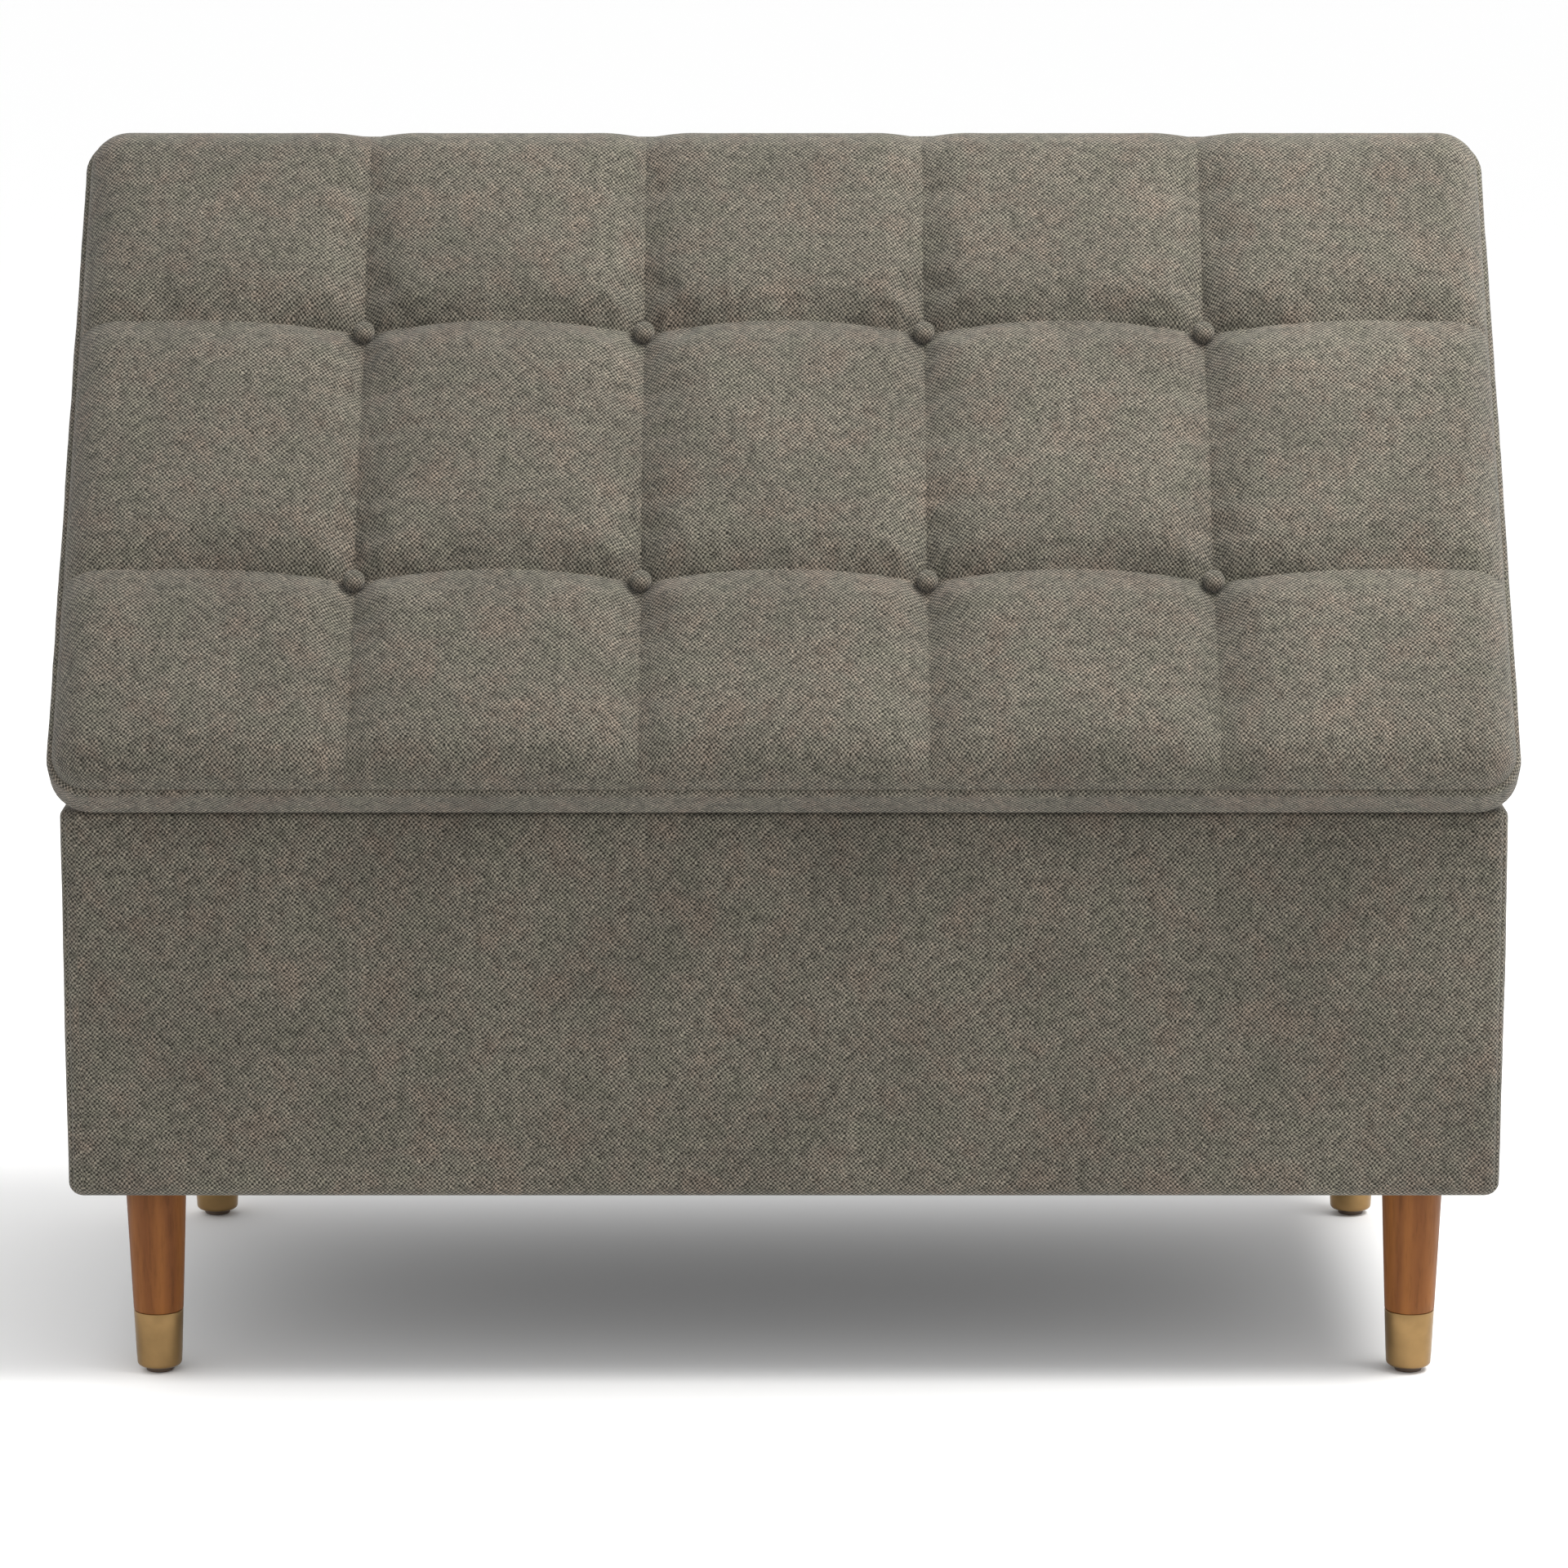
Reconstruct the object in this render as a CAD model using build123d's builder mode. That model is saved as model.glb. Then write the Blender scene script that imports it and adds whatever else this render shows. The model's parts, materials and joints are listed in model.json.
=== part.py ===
"""Upholstered storage bench: a padded box on four turned legs, under a tufted lid.

The lid is hinged along the back of the box and stands open on two gas struts.
X runs along the width, Y from the back (hinge side) to the front and Z up.
The origin is on the floor, under the middle of the box. All sizes are in millimetres.
"""

import os
from math import cos, radians, sin

from build123d import *

os.makedirs("parts", exist_ok=True)

# Box, measured outside its fabric
bench_width = 1000.0
bench_depth = 530.0
box_height = 276.0
leg_height = 140.0
corner_radius = 17.5
base_radius = 16.0
rim_radius = 6.0

# Layers of the box and the lid
fabric = 1.5
wadding = 6.5
panel = 15.0
floor_panel = 12.0
lining = 1.0
dust_cloth = 0.8
wadding_foot_gap = 4.5
carcass_foot_radius = 11.0

# Lid
open_angle = 51.0
lid_gap = 4.0
side_overhang = 6.0
front_overhang = 6.5
back_overhang = 7.5
lid_corner_radius = 38.0
band_height = 30.0
band_roll = 4.0
seam_allowance = 4.0
turn_under = 30.0
lid_board_thickness = 15.0
crown_height = 28.0
crown_radius = 24.0
lid_lining_thickness = 0.8

# Tufting
button_columns, button_rows = 4, 2
button_pitch_x = 199.0
button_pitch_y = 204.0
button_row_shift = -8.0  # the rows sit this much nearer the hinge than the lid's middle
button_radius = 7.5
button_height = 6.0
button_depth = 20.0
well_floor_radius = 9.0
well_mouth_radius = 30.0
twine_radius = 0.75
toggle_radius = 6.0
toggle_thickness = 2.0

# Legs
leg_inset_x = 56.0
leg_inset_y = 54.0
leg_top_radius = 21.5
leg_foot_radius = 15.7
ferrule_top = 45.0
ferrule_wall = 1.2
ferrule_roll = 3.0
glide_radius = 10.0
glide_height = 4.0
leg_plate_size = 56.0
leg_plate_thickness = 2.0
leg_plate_screw_offset = 20.0
hanger_bolt_radius = 4.0
hanger_bolt_in_leg = 36.0
bolt_clearance = 0.5

# Hinges
hinge_setback = 1.0
hinge_count = 3
hinge_spacing = 330.0
hinge_length = 65.0
knuckles = 5
knuckle_gap = 0.4
barrel_radius = 3.0
barrel_clearance = 0.4
hinge_pin_radius = 1.75
leaf_width = 21.0
leaf_thickness = 1.5
leaf_outer_row, leaf_inner_row = 16.0, 12.5

# Gas struts
strut_arm = 170.0
strut_wall_angle = 65.0
strut_lid_angle = 5.0
strut_wall_distance = 18.0
tube_radius = 7.5
tube_wall = 1.0
tube_foot = 12.0
gland_length = 8.0
piston_length = 8.0
rod_radius = 3.0
rod_foot = 10.0
rod_shown_shut = 12.0
piston_rest_gap = 1.0
eye_radius = 8.0
eye_thickness = 6.0
stud_radius = 4.0
stud_head_radius = 5.5
stud_head_thickness = 2.0
stud_shoulder_radius = 6.0
stud_play = 0.3
bracket_thickness = 2.0
wall_bracket_width, wall_bracket_height = 46.0, 36.0
lid_bracket_width, lid_bracket_length = 30.0, 60.0
ear_thickness = 3.0
ear_wall_gap = 5.0
ear_radius = 9.0
bracket_screw_margin = 6.0

# Fasteners, fits and bumpers
running_clearance = 0.05
screw_shank_radius = 1.6
screw_head_radius = 3.2
screw_head_height = 1.5
short_screw, plate_screw, long_screw = 12.0, 11.0, 40.0
bumper_radius = 5.0
bumper_clearance = 0.3
bumper_inset_x = 120.0

# Levels and half sizes worked out from the sizes above
half_width, half_depth = bench_width / 2, bench_depth / 2
box_low = leg_height
rim = leg_height + box_height
carcass_low, carcass_top = box_low + fabric, rim - fabric
skin = fabric + wadding
wall_x, wall_y = half_width - skin, half_depth - skin
inner_x, inner_y = wall_x - panel, wall_y - panel
floor_low = box_low + dust_cloth + leg_plate_thickness
floor_top = floor_low + floor_panel
hinge_y, hinge_z = -(half_depth + hinge_setback), rim + lid_gap / 2
centre_low = (Align.CENTER, Align.CENTER, Align.MIN)
centre_high = (Align.CENTER, Align.CENTER, Align.MAX)
sides = {"left": -1, "right": 1}
ends = {"back": -1, "front": 1}


def save(part, node):
    """Label a finished piece and write it to its own file."""
    part.label = node
    export_step(part, f"parts/{node}.step")


def screw_group(plane, points, length):
    """Countersunk screws whose heads lie flush in the plane, driven against its normal."""
    with BuildPart(plane) as screws:
        with Locations(*points):
            Cylinder(screw_shank_radius, length, align=centre_high)
            Cone(screw_shank_radius, screw_head_radius, screw_head_height, align=centre_high)
    return screws.part


def box_envelope(layer):
    """The upholstered box as a solid, taken in by one layer's thickness."""
    with BuildPart() as envelope:
        with BuildSketch(Plane.XY.offset(box_low + layer)):
            RectangleRounded(
                bench_width - 2 * layer, bench_depth - 2 * layer, corner_radius - layer
            )
        extrude(amount=box_height - 2 * layer)
        fillet(envelope.edges().group_by(Axis.Z)[0], base_radius - layer)
        fillet(envelope.edges().group_by(Axis.Z)[-1], rim_radius - layer)
    return envelope.part


# ---------------------------------------------------------------- carcass
side_screw_heights = [floor_top + 35, (floor_top + rim) / 2, rim - 35]
joint_points = [(s * (wall_x - panel / 2), z) for s in (-1, 1) for z in side_screw_heights]
joint_points += [(x, floor_low + floor_panel / 2) for x in (-380, -130, 130, 380)]
back_face = Plane.XZ.offset(wall_y)
front_face = Plane(origin=(0, wall_y, 0), x_dir=(-1, 0, 0), z_dir=(0, 1, 0))

with BuildPart() as carcass_screws:
    add(screw_group(back_face, joint_points, long_screw))
    add(screw_group(front_face, joint_points, long_screw))
save(carcass_screws.part, "carcass_screws")

strut_x = inner_x - lining - strut_wall_distance
wall_stud_y = hinge_y + strut_arm * cos(radians(strut_wall_angle))
wall_stud_z = hinge_z - strut_arm * sin(radians(strut_wall_angle))
bracket_u = wall_bracket_width / 2 - bracket_screw_margin
bracket_v = wall_bracket_height / 2 - bracket_screw_margin
bracket_points = [(u, v) for u in (-bracket_u, bracket_u) for v in (-bracket_v, bracket_v)]


def wall_face(side, depth):
    """A plane facing into the box, set in from one side wall's lining, centred on the stud."""
    x = side * (inner_x - lining - depth)
    return Plane(origin=(x, wall_stud_y, wall_stud_z), x_dir=(0, 1, 0), z_dir=(-side, 0, 0))


with BuildPart() as strut_wall_screws:
    for side in sides.values():
        add(screw_group(wall_face(side, bracket_thickness), bracket_points, short_screw))
save(strut_wall_screws.part, "strut_wall_screws")

leg_places = {
    f"{end}_{name}": (side * (half_width - leg_inset_x), way * (half_depth - leg_inset_y))
    for end, way in ends.items()
    for name, side in sides.items()
}
leg_plate_low = box_low + dust_cloth
plate_points = [(u, v) for u in (-1, 1) for v in (-1, 1)]
plate_screw_points = [
    (x + u * leg_plate_screw_offset, -y + v * leg_plate_screw_offset)
    for x, y in leg_places.values()
    for u, v in plate_points
]
plate_underside = Plane(origin=(0, 0, leg_plate_low), x_dir=(1, 0, 0), z_dir=(0, 0, -1))
with BuildPart() as leg_plate_screws:
    add(screw_group(plate_underside, plate_screw_points, plate_screw))
save(leg_plate_screws.part, "leg_plate_screws")

# Screws that fix the base leaves of the hinges to the rim
hinge_places = [(i - (hinge_count - 1) / 2) * hinge_spacing for i in range(hinge_count)]
leaf_points = [
    (-hinge_length / 3, leaf_outer_row),
    (0, leaf_inner_row),
    (hinge_length / 3, leaf_outer_row),
]
hinge_points = [(x + u, v) for x in hinge_places for u, v in leaf_points]
leaf_face = lid_gap / 2 - leaf_thickness
hinge_frame = Plane(origin=(0, hinge_y, hinge_z), x_dir=(1, 0, 0), z_dir=(0, 0, 1))
with BuildPart() as hinge_base_screws:
    add(screw_group(hinge_frame.offset(-leaf_face), hinge_points, short_screw))
save(hinge_base_screws.part, "hinge_base_screws")

for end, way in ends.items():
    with BuildPart() as long_panel:
        with BuildSketch(Plane.XY.offset(carcass_low)):
            with Locations((0, way * (inner_y + panel / 2))):
                Rectangle(2 * wall_x, panel)
        extrude(amount=carcass_top - carcass_low)
        foot_edges = long_panel.edges().group_by(Axis.Z)[0].sort_by(Axis.Y, reverse=way < 0)
        fillet(foot_edges[1:], carcass_foot_radius)
        add(carcass_screws.part, mode=Mode.SUBTRACT)
        if way < 0:
            add(hinge_base_screws.part, mode=Mode.SUBTRACT)
    save(long_panel.part, f"{end}_panel")

for name, side in sides.items():
    with BuildPart() as side_panel:
        with BuildSketch(Plane.XY.offset(carcass_low)):
            with Locations((side * (inner_x + panel / 2), 0)):
                Rectangle(panel, 2 * inner_y)
        extrude(amount=carcass_top - carcass_low)
        foot_edges = side_panel.edges().group_by(Axis.Z)[0].sort_by(Axis.X, reverse=side < 0)
        fillet(foot_edges[-1], carcass_foot_radius)
        add(carcass_screws.part, mode=Mode.SUBTRACT)
        add(strut_wall_screws.part, mode=Mode.SUBTRACT)
    save(side_panel.part, f"{name}_side_panel")

with BuildPart() as bottom_panel:
    with BuildSketch(Plane.XY.offset(floor_low)):
        Rectangle(2 * inner_x, 2 * inner_y)
        with Locations(*leg_places.values()):
            Circle(hanger_bolt_radius + bolt_clearance, mode=Mode.SUBTRACT)
    extrude(amount=floor_panel)
    add(carcass_screws.part, mode=Mode.SUBTRACT)
    add(leg_plate_screws.part, mode=Mode.SUBTRACT)
save(bottom_panel.part, "bottom_panel")

# ---------------------------------------------------------------- upholstery of the box
with BuildPart() as base_wadding:
    add(box_envelope(fabric))
    with BuildSketch(Plane.XY.offset(box_low)):
        Rectangle(2 * wall_x, 2 * wall_y)
    extrude(amount=box_height, mode=Mode.SUBTRACT)
    with BuildSketch(Plane.XY.offset(box_low)):
        Rectangle(bench_width, bench_depth)
    extrude(amount=fabric + wadding_foot_gap, mode=Mode.SUBTRACT)
save(base_wadding.part, "base_wadding")

with BuildPart() as box_skin:
    add(box_envelope(0))
    add(box_envelope(fabric), mode=Mode.SUBTRACT)
    with BuildSketch(Plane.XY.offset(box_low)):
        Rectangle(2 * inner_x, 2 * inner_y)
    extrude(amount=box_height, mode=Mode.SUBTRACT)
    add(hinge_base_screws.part, mode=Mode.SUBTRACT)

# The four cover panels are sewn together down the corners, so each ends on a diagonal
far_x, far_y = half_width + half_depth, 2 * half_depth
middle = half_width - half_depth
cover_fields = {
    "back": [(-far_x, -far_y), (far_x, -far_y), (middle, 0), (-middle, 0)],
    "front": [(-middle, 0), (middle, 0), (far_x, far_y), (-far_x, far_y)],
    "left": [(-far_x, -far_y), (-middle, 0), (-far_x, far_y)],
    "right": [(far_x, -far_y), (far_x, far_y), (middle, 0)],
}
for name, field in cover_fields.items():
    with BuildPart() as base_cover:
        add(box_skin.part)
        with BuildSketch(Plane.XY.offset(box_low)):
            Polygon(*field, align=None)
        extrude(amount=box_height, mode=Mode.INTERSECT)
    save(base_cover.part, f"base_cover_{name}")

with BuildPart() as wall_lining:
    with BuildSketch(Plane.XY.offset(floor_top)):
        Rectangle(2 * inner_x, 2 * inner_y)
        Rectangle(2 * (inner_x - lining), 2 * (inner_y - lining), mode=Mode.SUBTRACT)
    extrude(amount=carcass_top - floor_top)
    add(strut_wall_screws.part, mode=Mode.SUBTRACT)
save(wall_lining.part, "wall_lining")

with BuildPart() as floor_lining:
    with BuildSketch(Plane.XY.offset(floor_top)):
        Rectangle(2 * (inner_x - lining), 2 * (inner_y - lining))
    extrude(amount=lining)
save(floor_lining.part, "floor_lining")

with BuildPart() as dust_cover:
    with BuildSketch(Plane.XY.offset(box_low)):
        Rectangle(2 * (inner_x - bolt_clearance), 2 * (inner_y - bolt_clearance))
        with Locations(*leg_places.values()):
            Circle(hanger_bolt_radius + bolt_clearance, mode=Mode.SUBTRACT)
    extrude(amount=dust_cloth)
save(dust_cover.part, "dust_cover")

bumper_places = [(side * (half_width - bumper_inset_x), inner_y + panel / 2) for side in (-1, 1)]
bumper_places += [(side * (inner_x + panel / 2), -half_depth / 2) for side in (-1, 1)]
with BuildPart() as rim_bumpers:
    with BuildSketch(Plane.XY.offset(rim)):
        with Locations(*bumper_places):
            Circle(bumper_radius)
    extrude(amount=lid_gap - bumper_clearance)
    fillet(rim_bumpers.edges().group_by(Axis.Z)[-1], 1)
save(rim_bumpers.part, "rim_bumpers")


# ---------------------------------------------------------------- legs
def leg_radius(height):
    """Radius of the tapered leg at a height above the floor."""
    return leg_foot_radius + (leg_top_radius - leg_foot_radius) * height / leg_height


for place, (x, y) in leg_places.items():
    with BuildPart(Plane(origin=(x, y, 0))) as leg:
        with Locations((0, 0, ferrule_top)):
            Cone(leg_radius(ferrule_top), leg_top_radius, leg_height - ferrule_top, align=centre_low)
        tenon_low = glide_height + ferrule_wall
        with Locations((0, 0, tenon_low)):
            Cone(
                leg_radius(tenon_low) - ferrule_wall,
                leg_radius(ferrule_top) - ferrule_wall,
                ferrule_top - tenon_low,
                align=centre_low,
            )
        fillet(leg.edges().group_by(Axis.Z)[0], ferrule_roll - ferrule_wall)
        with Locations((0, 0, leg_height)):
            Cylinder(hanger_bolt_radius, hanger_bolt_in_leg, align=centre_high, mode=Mode.SUBTRACT)
    save(leg.part, f"leg_{place}")

    with BuildPart() as ferrule:
        with Locations((x, y, glide_height)):
            Cone(
                leg_radius(glide_height),
                leg_radius(ferrule_top),
                ferrule_top - glide_height,
                align=centre_low,
            )
        fillet(ferrule.edges().group_by(Axis.Z)[0], ferrule_roll)
        add(leg.part, mode=Mode.SUBTRACT)
    save(ferrule.part, f"ferrule_{place}")

with BuildPart() as glides:
    with BuildSketch():
        with Locations(*leg_places.values()):
            Circle(glide_radius)
    extrude(amount=glide_height)
    fillet(glides.edges().group_by(Axis.Z)[0], 1)
save(glides.part, "glides")

with BuildPart() as hanger_bolts:
    with BuildSketch(Plane.XY.offset(leg_height - hanger_bolt_in_leg)):
        with Locations(*leg_places.values()):
            Circle(hanger_bolt_radius)
    extrude(amount=hanger_bolt_in_leg + floor_top - floor_panel / 4 - leg_height)
save(hanger_bolts.part, "hanger_bolts")

with BuildPart() as leg_plates:
    with BuildSketch(Plane.XY.offset(leg_plate_low)):
        with Locations(*leg_places.values()):
            RectangleRounded(leg_plate_size, leg_plate_size, 6)
            Circle(hanger_bolt_radius + running_clearance, mode=Mode.SUBTRACT)
    extrude(amount=leg_plate_thickness)
    add(leg_plate_screws.part, mode=Mode.SUBTRACT)
save(leg_plates.part, "leg_plates")

# ---------------------------------------------------------------- lid
# The lid's own frame has its origin on the hinge axis, its Y towards the front edge
# and its Z out of the tufted face. Levels below are heights in that frame.
tilt = radians(open_angle)
lid_frame = Plane(origin=(0, hinge_y, hinge_z), x_dir=(1, 0, 0), z_dir=(0, -sin(tilt), cos(tilt)))
lid_under = Plane(origin=lid_frame.origin, x_dir=(1, 0, 0), z_dir=-lid_frame.z_dir)
lid_width = bench_width + 2 * side_overhang
lid_depth = bench_depth + front_overhang + back_overhang
lid_middle = lid_depth / 2 - (back_overhang - hinge_setback)
lid_low = lid_gap / 2
board_low = lid_low + fabric
board_top = board_low + lid_board_thickness
seam = lid_low + band_height
lid_top = seam + crown_height
board_inset = skin
tuft_floor = lid_top - button_depth
lid_lining_low = board_low - lid_lining_thickness
button_places = [
    (
        (column - (button_columns - 1) / 2) * button_pitch_x,
        lid_middle + button_row_shift + (row - (button_rows - 1) / 2) * button_pitch_y,
    )
    for column in range(button_columns)
    for row in range(button_rows)
]


def lid_block(low, high, inset):
    """A slab in the shape of the lid, between two levels, taken in all round."""
    with BuildPart(lid_frame) as block:
        with BuildSketch(lid_frame.offset(low)):
            with Locations((0, lid_middle)):
                RectangleRounded(
                    lid_width - 2 * inset, lid_depth - 2 * inset, lid_corner_radius - inset
                )
        extrude(amount=high - low)
    return block.part


def lid_crown(layer):
    """The domed top of the lid with its button wells, taken in by one layer's thickness."""
    along = Axis(lid_frame.origin, lid_frame.z_dir)
    spread = layer * (well_mouth_radius / button_depth)
    with BuildPart() as crown:
        add(lid_block(seam, lid_top - layer, band_roll + layer))
        fillet(crown.edges().group_by(along)[-1], crown_radius - layer)
        with Locations(lid_frame), Locations(*[(x, y, tuft_floor - layer) for x, y in button_places]):
            Cone(
                well_floor_radius + layer,
                well_mouth_radius + spread,
                button_depth + layer,
                align=centre_low,
                mode=Mode.SUBTRACT,
            )
    return crown.part


with BuildPart(lid_frame) as button_ties:
    with Locations(*[(x, y, board_low) for x, y in button_places]):
        Cylinder(toggle_radius, toggle_thickness, align=centre_low)
        Cylinder(twine_radius, tuft_floor - board_low, align=centre_low)
save(button_ties.part, "button_ties")

with BuildPart(lid_frame) as tuft_buttons:
    with Locations(*[(x, y, tuft_floor) for x, y in button_places]):
        Cylinder(button_radius, button_height, align=centre_low)
    top_edges = tuft_buttons.edges().group_by(Axis(lid_frame.origin, lid_frame.z_dir))[-1]
    fillet(top_edges, button_height / 2)
save(tuft_buttons.part, "tuft_buttons")

mirrored_hinge_points = [(x, -y) for x, y in hinge_points]
with BuildPart() as hinge_lid_screws:
    add(screw_group(lid_under.offset(-leaf_face), mirrored_hinge_points, short_screw))
save(hinge_lid_screws.part, "hinge_lid_screws")

lid_stud_y = strut_arm * cos(radians(strut_lid_angle))
lid_stud_z = -strut_arm * sin(radians(strut_lid_angle))
lid_bracket_low = lid_lining_low - bracket_thickness
ear_outer = inner_x - lining - ear_wall_gap
lid_plate_x = ear_outer - lid_bracket_width / 2
lid_plate_u = lid_bracket_width / 2 - bracket_screw_margin
lid_plate_v = lid_bracket_length / 2 - bracket_screw_margin
lid_plate_points = [
    (side * lid_plate_x + u, -(lid_stud_y + v))
    for side in sides.values()
    for u in (-lid_plate_u, lid_plate_u - ear_thickness)
    for v in (-lid_plate_v, lid_plate_v)
]
with BuildPart() as strut_lid_screws:
    add(screw_group(lid_under.offset(-lid_bracket_low), lid_plate_points, short_screw))
save(strut_lid_screws.part, "strut_lid_screws")

with BuildPart() as lid_board:
    add(lid_block(board_low, board_top, board_inset))
    add(button_ties.part, mode=Mode.SUBTRACT)
    add(hinge_lid_screws.part, mode=Mode.SUBTRACT)
    add(strut_lid_screws.part, mode=Mode.SUBTRACT)
save(lid_board.part, "lid_board")

with BuildPart() as lid_pad:
    add(lid_block(board_top, seam, board_inset))
    add(lid_crown(fabric))
    add(button_ties.part, mode=Mode.SUBTRACT)
save(lid_pad.part, "lid_pad")

with BuildPart() as lid_top_cover:
    add(lid_crown(0))
    add(lid_crown(fabric), mode=Mode.SUBTRACT)
    add(button_ties.part, mode=Mode.SUBTRACT)
save(lid_top_cover.part, "lid_top_cover")


def band_solid(layer):
    """The boxed edge of the lid as a solid with rolled edges, taken in by one layer."""
    along = Axis(lid_frame.origin, lid_frame.z_dir)
    with BuildPart() as band:
        add(lid_block(lid_low + layer, seam - layer, layer))
        levels = band.edges().group_by(along)
        fillet(levels[0] + levels[-1], band_roll - layer)
    return band.part


with BuildPart() as barrel_room:
    with Locations(lid_frame), Locations(*[(x, 0, 0) for x in hinge_places]):
        Cylinder(
            barrel_radius + barrel_clearance,
            hinge_length + 2 * barrel_clearance,
            rotation=(0, 90, 0),
        )

with BuildPart() as lid_band:
    add(band_solid(0))
    add(band_solid(fabric), mode=Mode.SUBTRACT)
    add(lid_block(seam - band_height / 2, seam, band_roll + seam_allowance), mode=Mode.SUBTRACT)
    add(lid_block(lid_low, seam - band_height / 2, turn_under), mode=Mode.SUBTRACT)
    add(barrel_room.part, mode=Mode.SUBTRACT)
    add(hinge_lid_screws.part, mode=Mode.SUBTRACT)
save(lid_band.part, "lid_band")

with BuildPart() as lid_edge_wadding:
    add(band_solid(fabric))
    add(lid_block(lid_low, seam, board_inset), mode=Mode.SUBTRACT)
    add(barrel_room.part, mode=Mode.SUBTRACT)
save(lid_edge_wadding.part, "lid_edge_wadding")

with BuildPart() as lid_lining:
    add(lid_block(lid_lining_low, board_low, turn_under + bolt_clearance))
    add(strut_lid_screws.part, mode=Mode.SUBTRACT)
save(lid_lining.part, "lid_lining")


# ---------------------------------------------------------------- hinges
knuckle_pitch = hinge_length / knuckles


def hinge_leaf(frame, facing, own, screws):
    """One leaf of a butt hinge. Facing is -1 for the leaf on the rim and 1 for the lid's."""
    centres = [((i - (knuckles - 1) / 2) * knuckle_pitch, 0, 0) for i in range(knuckles)]
    kept = [centre for i, centre in enumerate(centres) if i % 2 == own]
    left_out = [centre for i, centre in enumerate(centres) if i % 2 != own]
    along_x = (0, 90, 0)
    with BuildPart() as leaf:
        with Locations(frame):
            with Locations((0, leaf_width / 2, facing * (lid_gap - leaf_thickness) / 2)):
                Box(hinge_length, leaf_width, leaf_thickness)
            with Locations(*left_out):
                clear_radius, clear_length = barrel_radius + barrel_clearance, knuckle_pitch + knuckle_gap
                Cylinder(clear_radius, clear_length, rotation=along_x, mode=Mode.SUBTRACT)
            with Locations(*kept):
                Cylinder(barrel_radius, knuckle_pitch - knuckle_gap, rotation=along_x)
            pin_bore = hinge_pin_radius + running_clearance
            Cylinder(pin_bore, 2 * hinge_length, rotation=along_x, mode=Mode.SUBTRACT)
        add(screws, mode=Mode.SUBTRACT)
    return leaf.part


for name, x in zip(("left", "middle", "right"), hinge_places):
    rim_place = hinge_frame.location * Location((x, 0, 0))
    lid_place = lid_frame.location * Location((x, 0, 0))
    save(hinge_leaf(rim_place, -1, 0, hinge_base_screws.part), f"hinge_base_leaf_{name}")
    save(hinge_leaf(lid_place, 1, 1, hinge_lid_screws.part), f"hinge_lid_leaf_{name}")

with BuildPart(hinge_frame) as hinge_pins:
    with Locations(*[(x, 0, 0) for x in hinge_places]):
        Cylinder(hinge_pin_radius, hinge_length, rotation=(0, 90, 0))
save(hinge_pins.part, "hinge_pins")

# ---------------------------------------------------------------- gas struts
# The two studs are equally far from the hinge axis, so the strut turns at half the lid's
# angle about both of them, and the rod stays in line with its tube at every opening.
spread_shut = strut_wall_angle - strut_lid_angle
strut_shut = 2 * strut_arm * sin(radians(spread_shut / 2))
strut_open = 2 * strut_arm * sin(radians((spread_shut + open_angle) / 2))
strut_tilt = radians((open_angle - strut_lid_angle - strut_wall_angle) / 2)
strut_dir = (0, -sin(strut_tilt), cos(strut_tilt))
tube_end = strut_shut - rod_foot - rod_shown_shut
piston_top = tube_end - gland_length - piston_rest_gap
bore_radius = tube_radius - tube_wall
eye_reach = eye_thickness / 2 + stud_play


def stud(face, inward, base):
    """A riveted stud out of a face from a base level, through the strut's eye, to its head."""
    with Locations(face.offset(base)):
        Cylinder(stud_shoulder_radius, inward - eye_reach - base, align=centre_low)
        Cylinder(stud_radius, inward + eye_reach + stud_head_thickness - base, align=centre_low)
    with Locations(face.offset(inward + eye_reach)):
        Cylinder(stud_head_radius, stud_head_thickness, align=centre_low)


def strut_eye(foot):
    """The eye of a strut at the local origin, with a neck that reaches up to the foot level."""
    Cylinder(eye_radius, eye_thickness, rotation=(0, 90, 0))
    Box(eye_thickness, eye_radius, foot, align=centre_low)
    Cylinder(
        stud_radius + running_clearance, 2 * eye_thickness, rotation=(0, 90, 0), mode=Mode.SUBTRACT
    )


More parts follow.
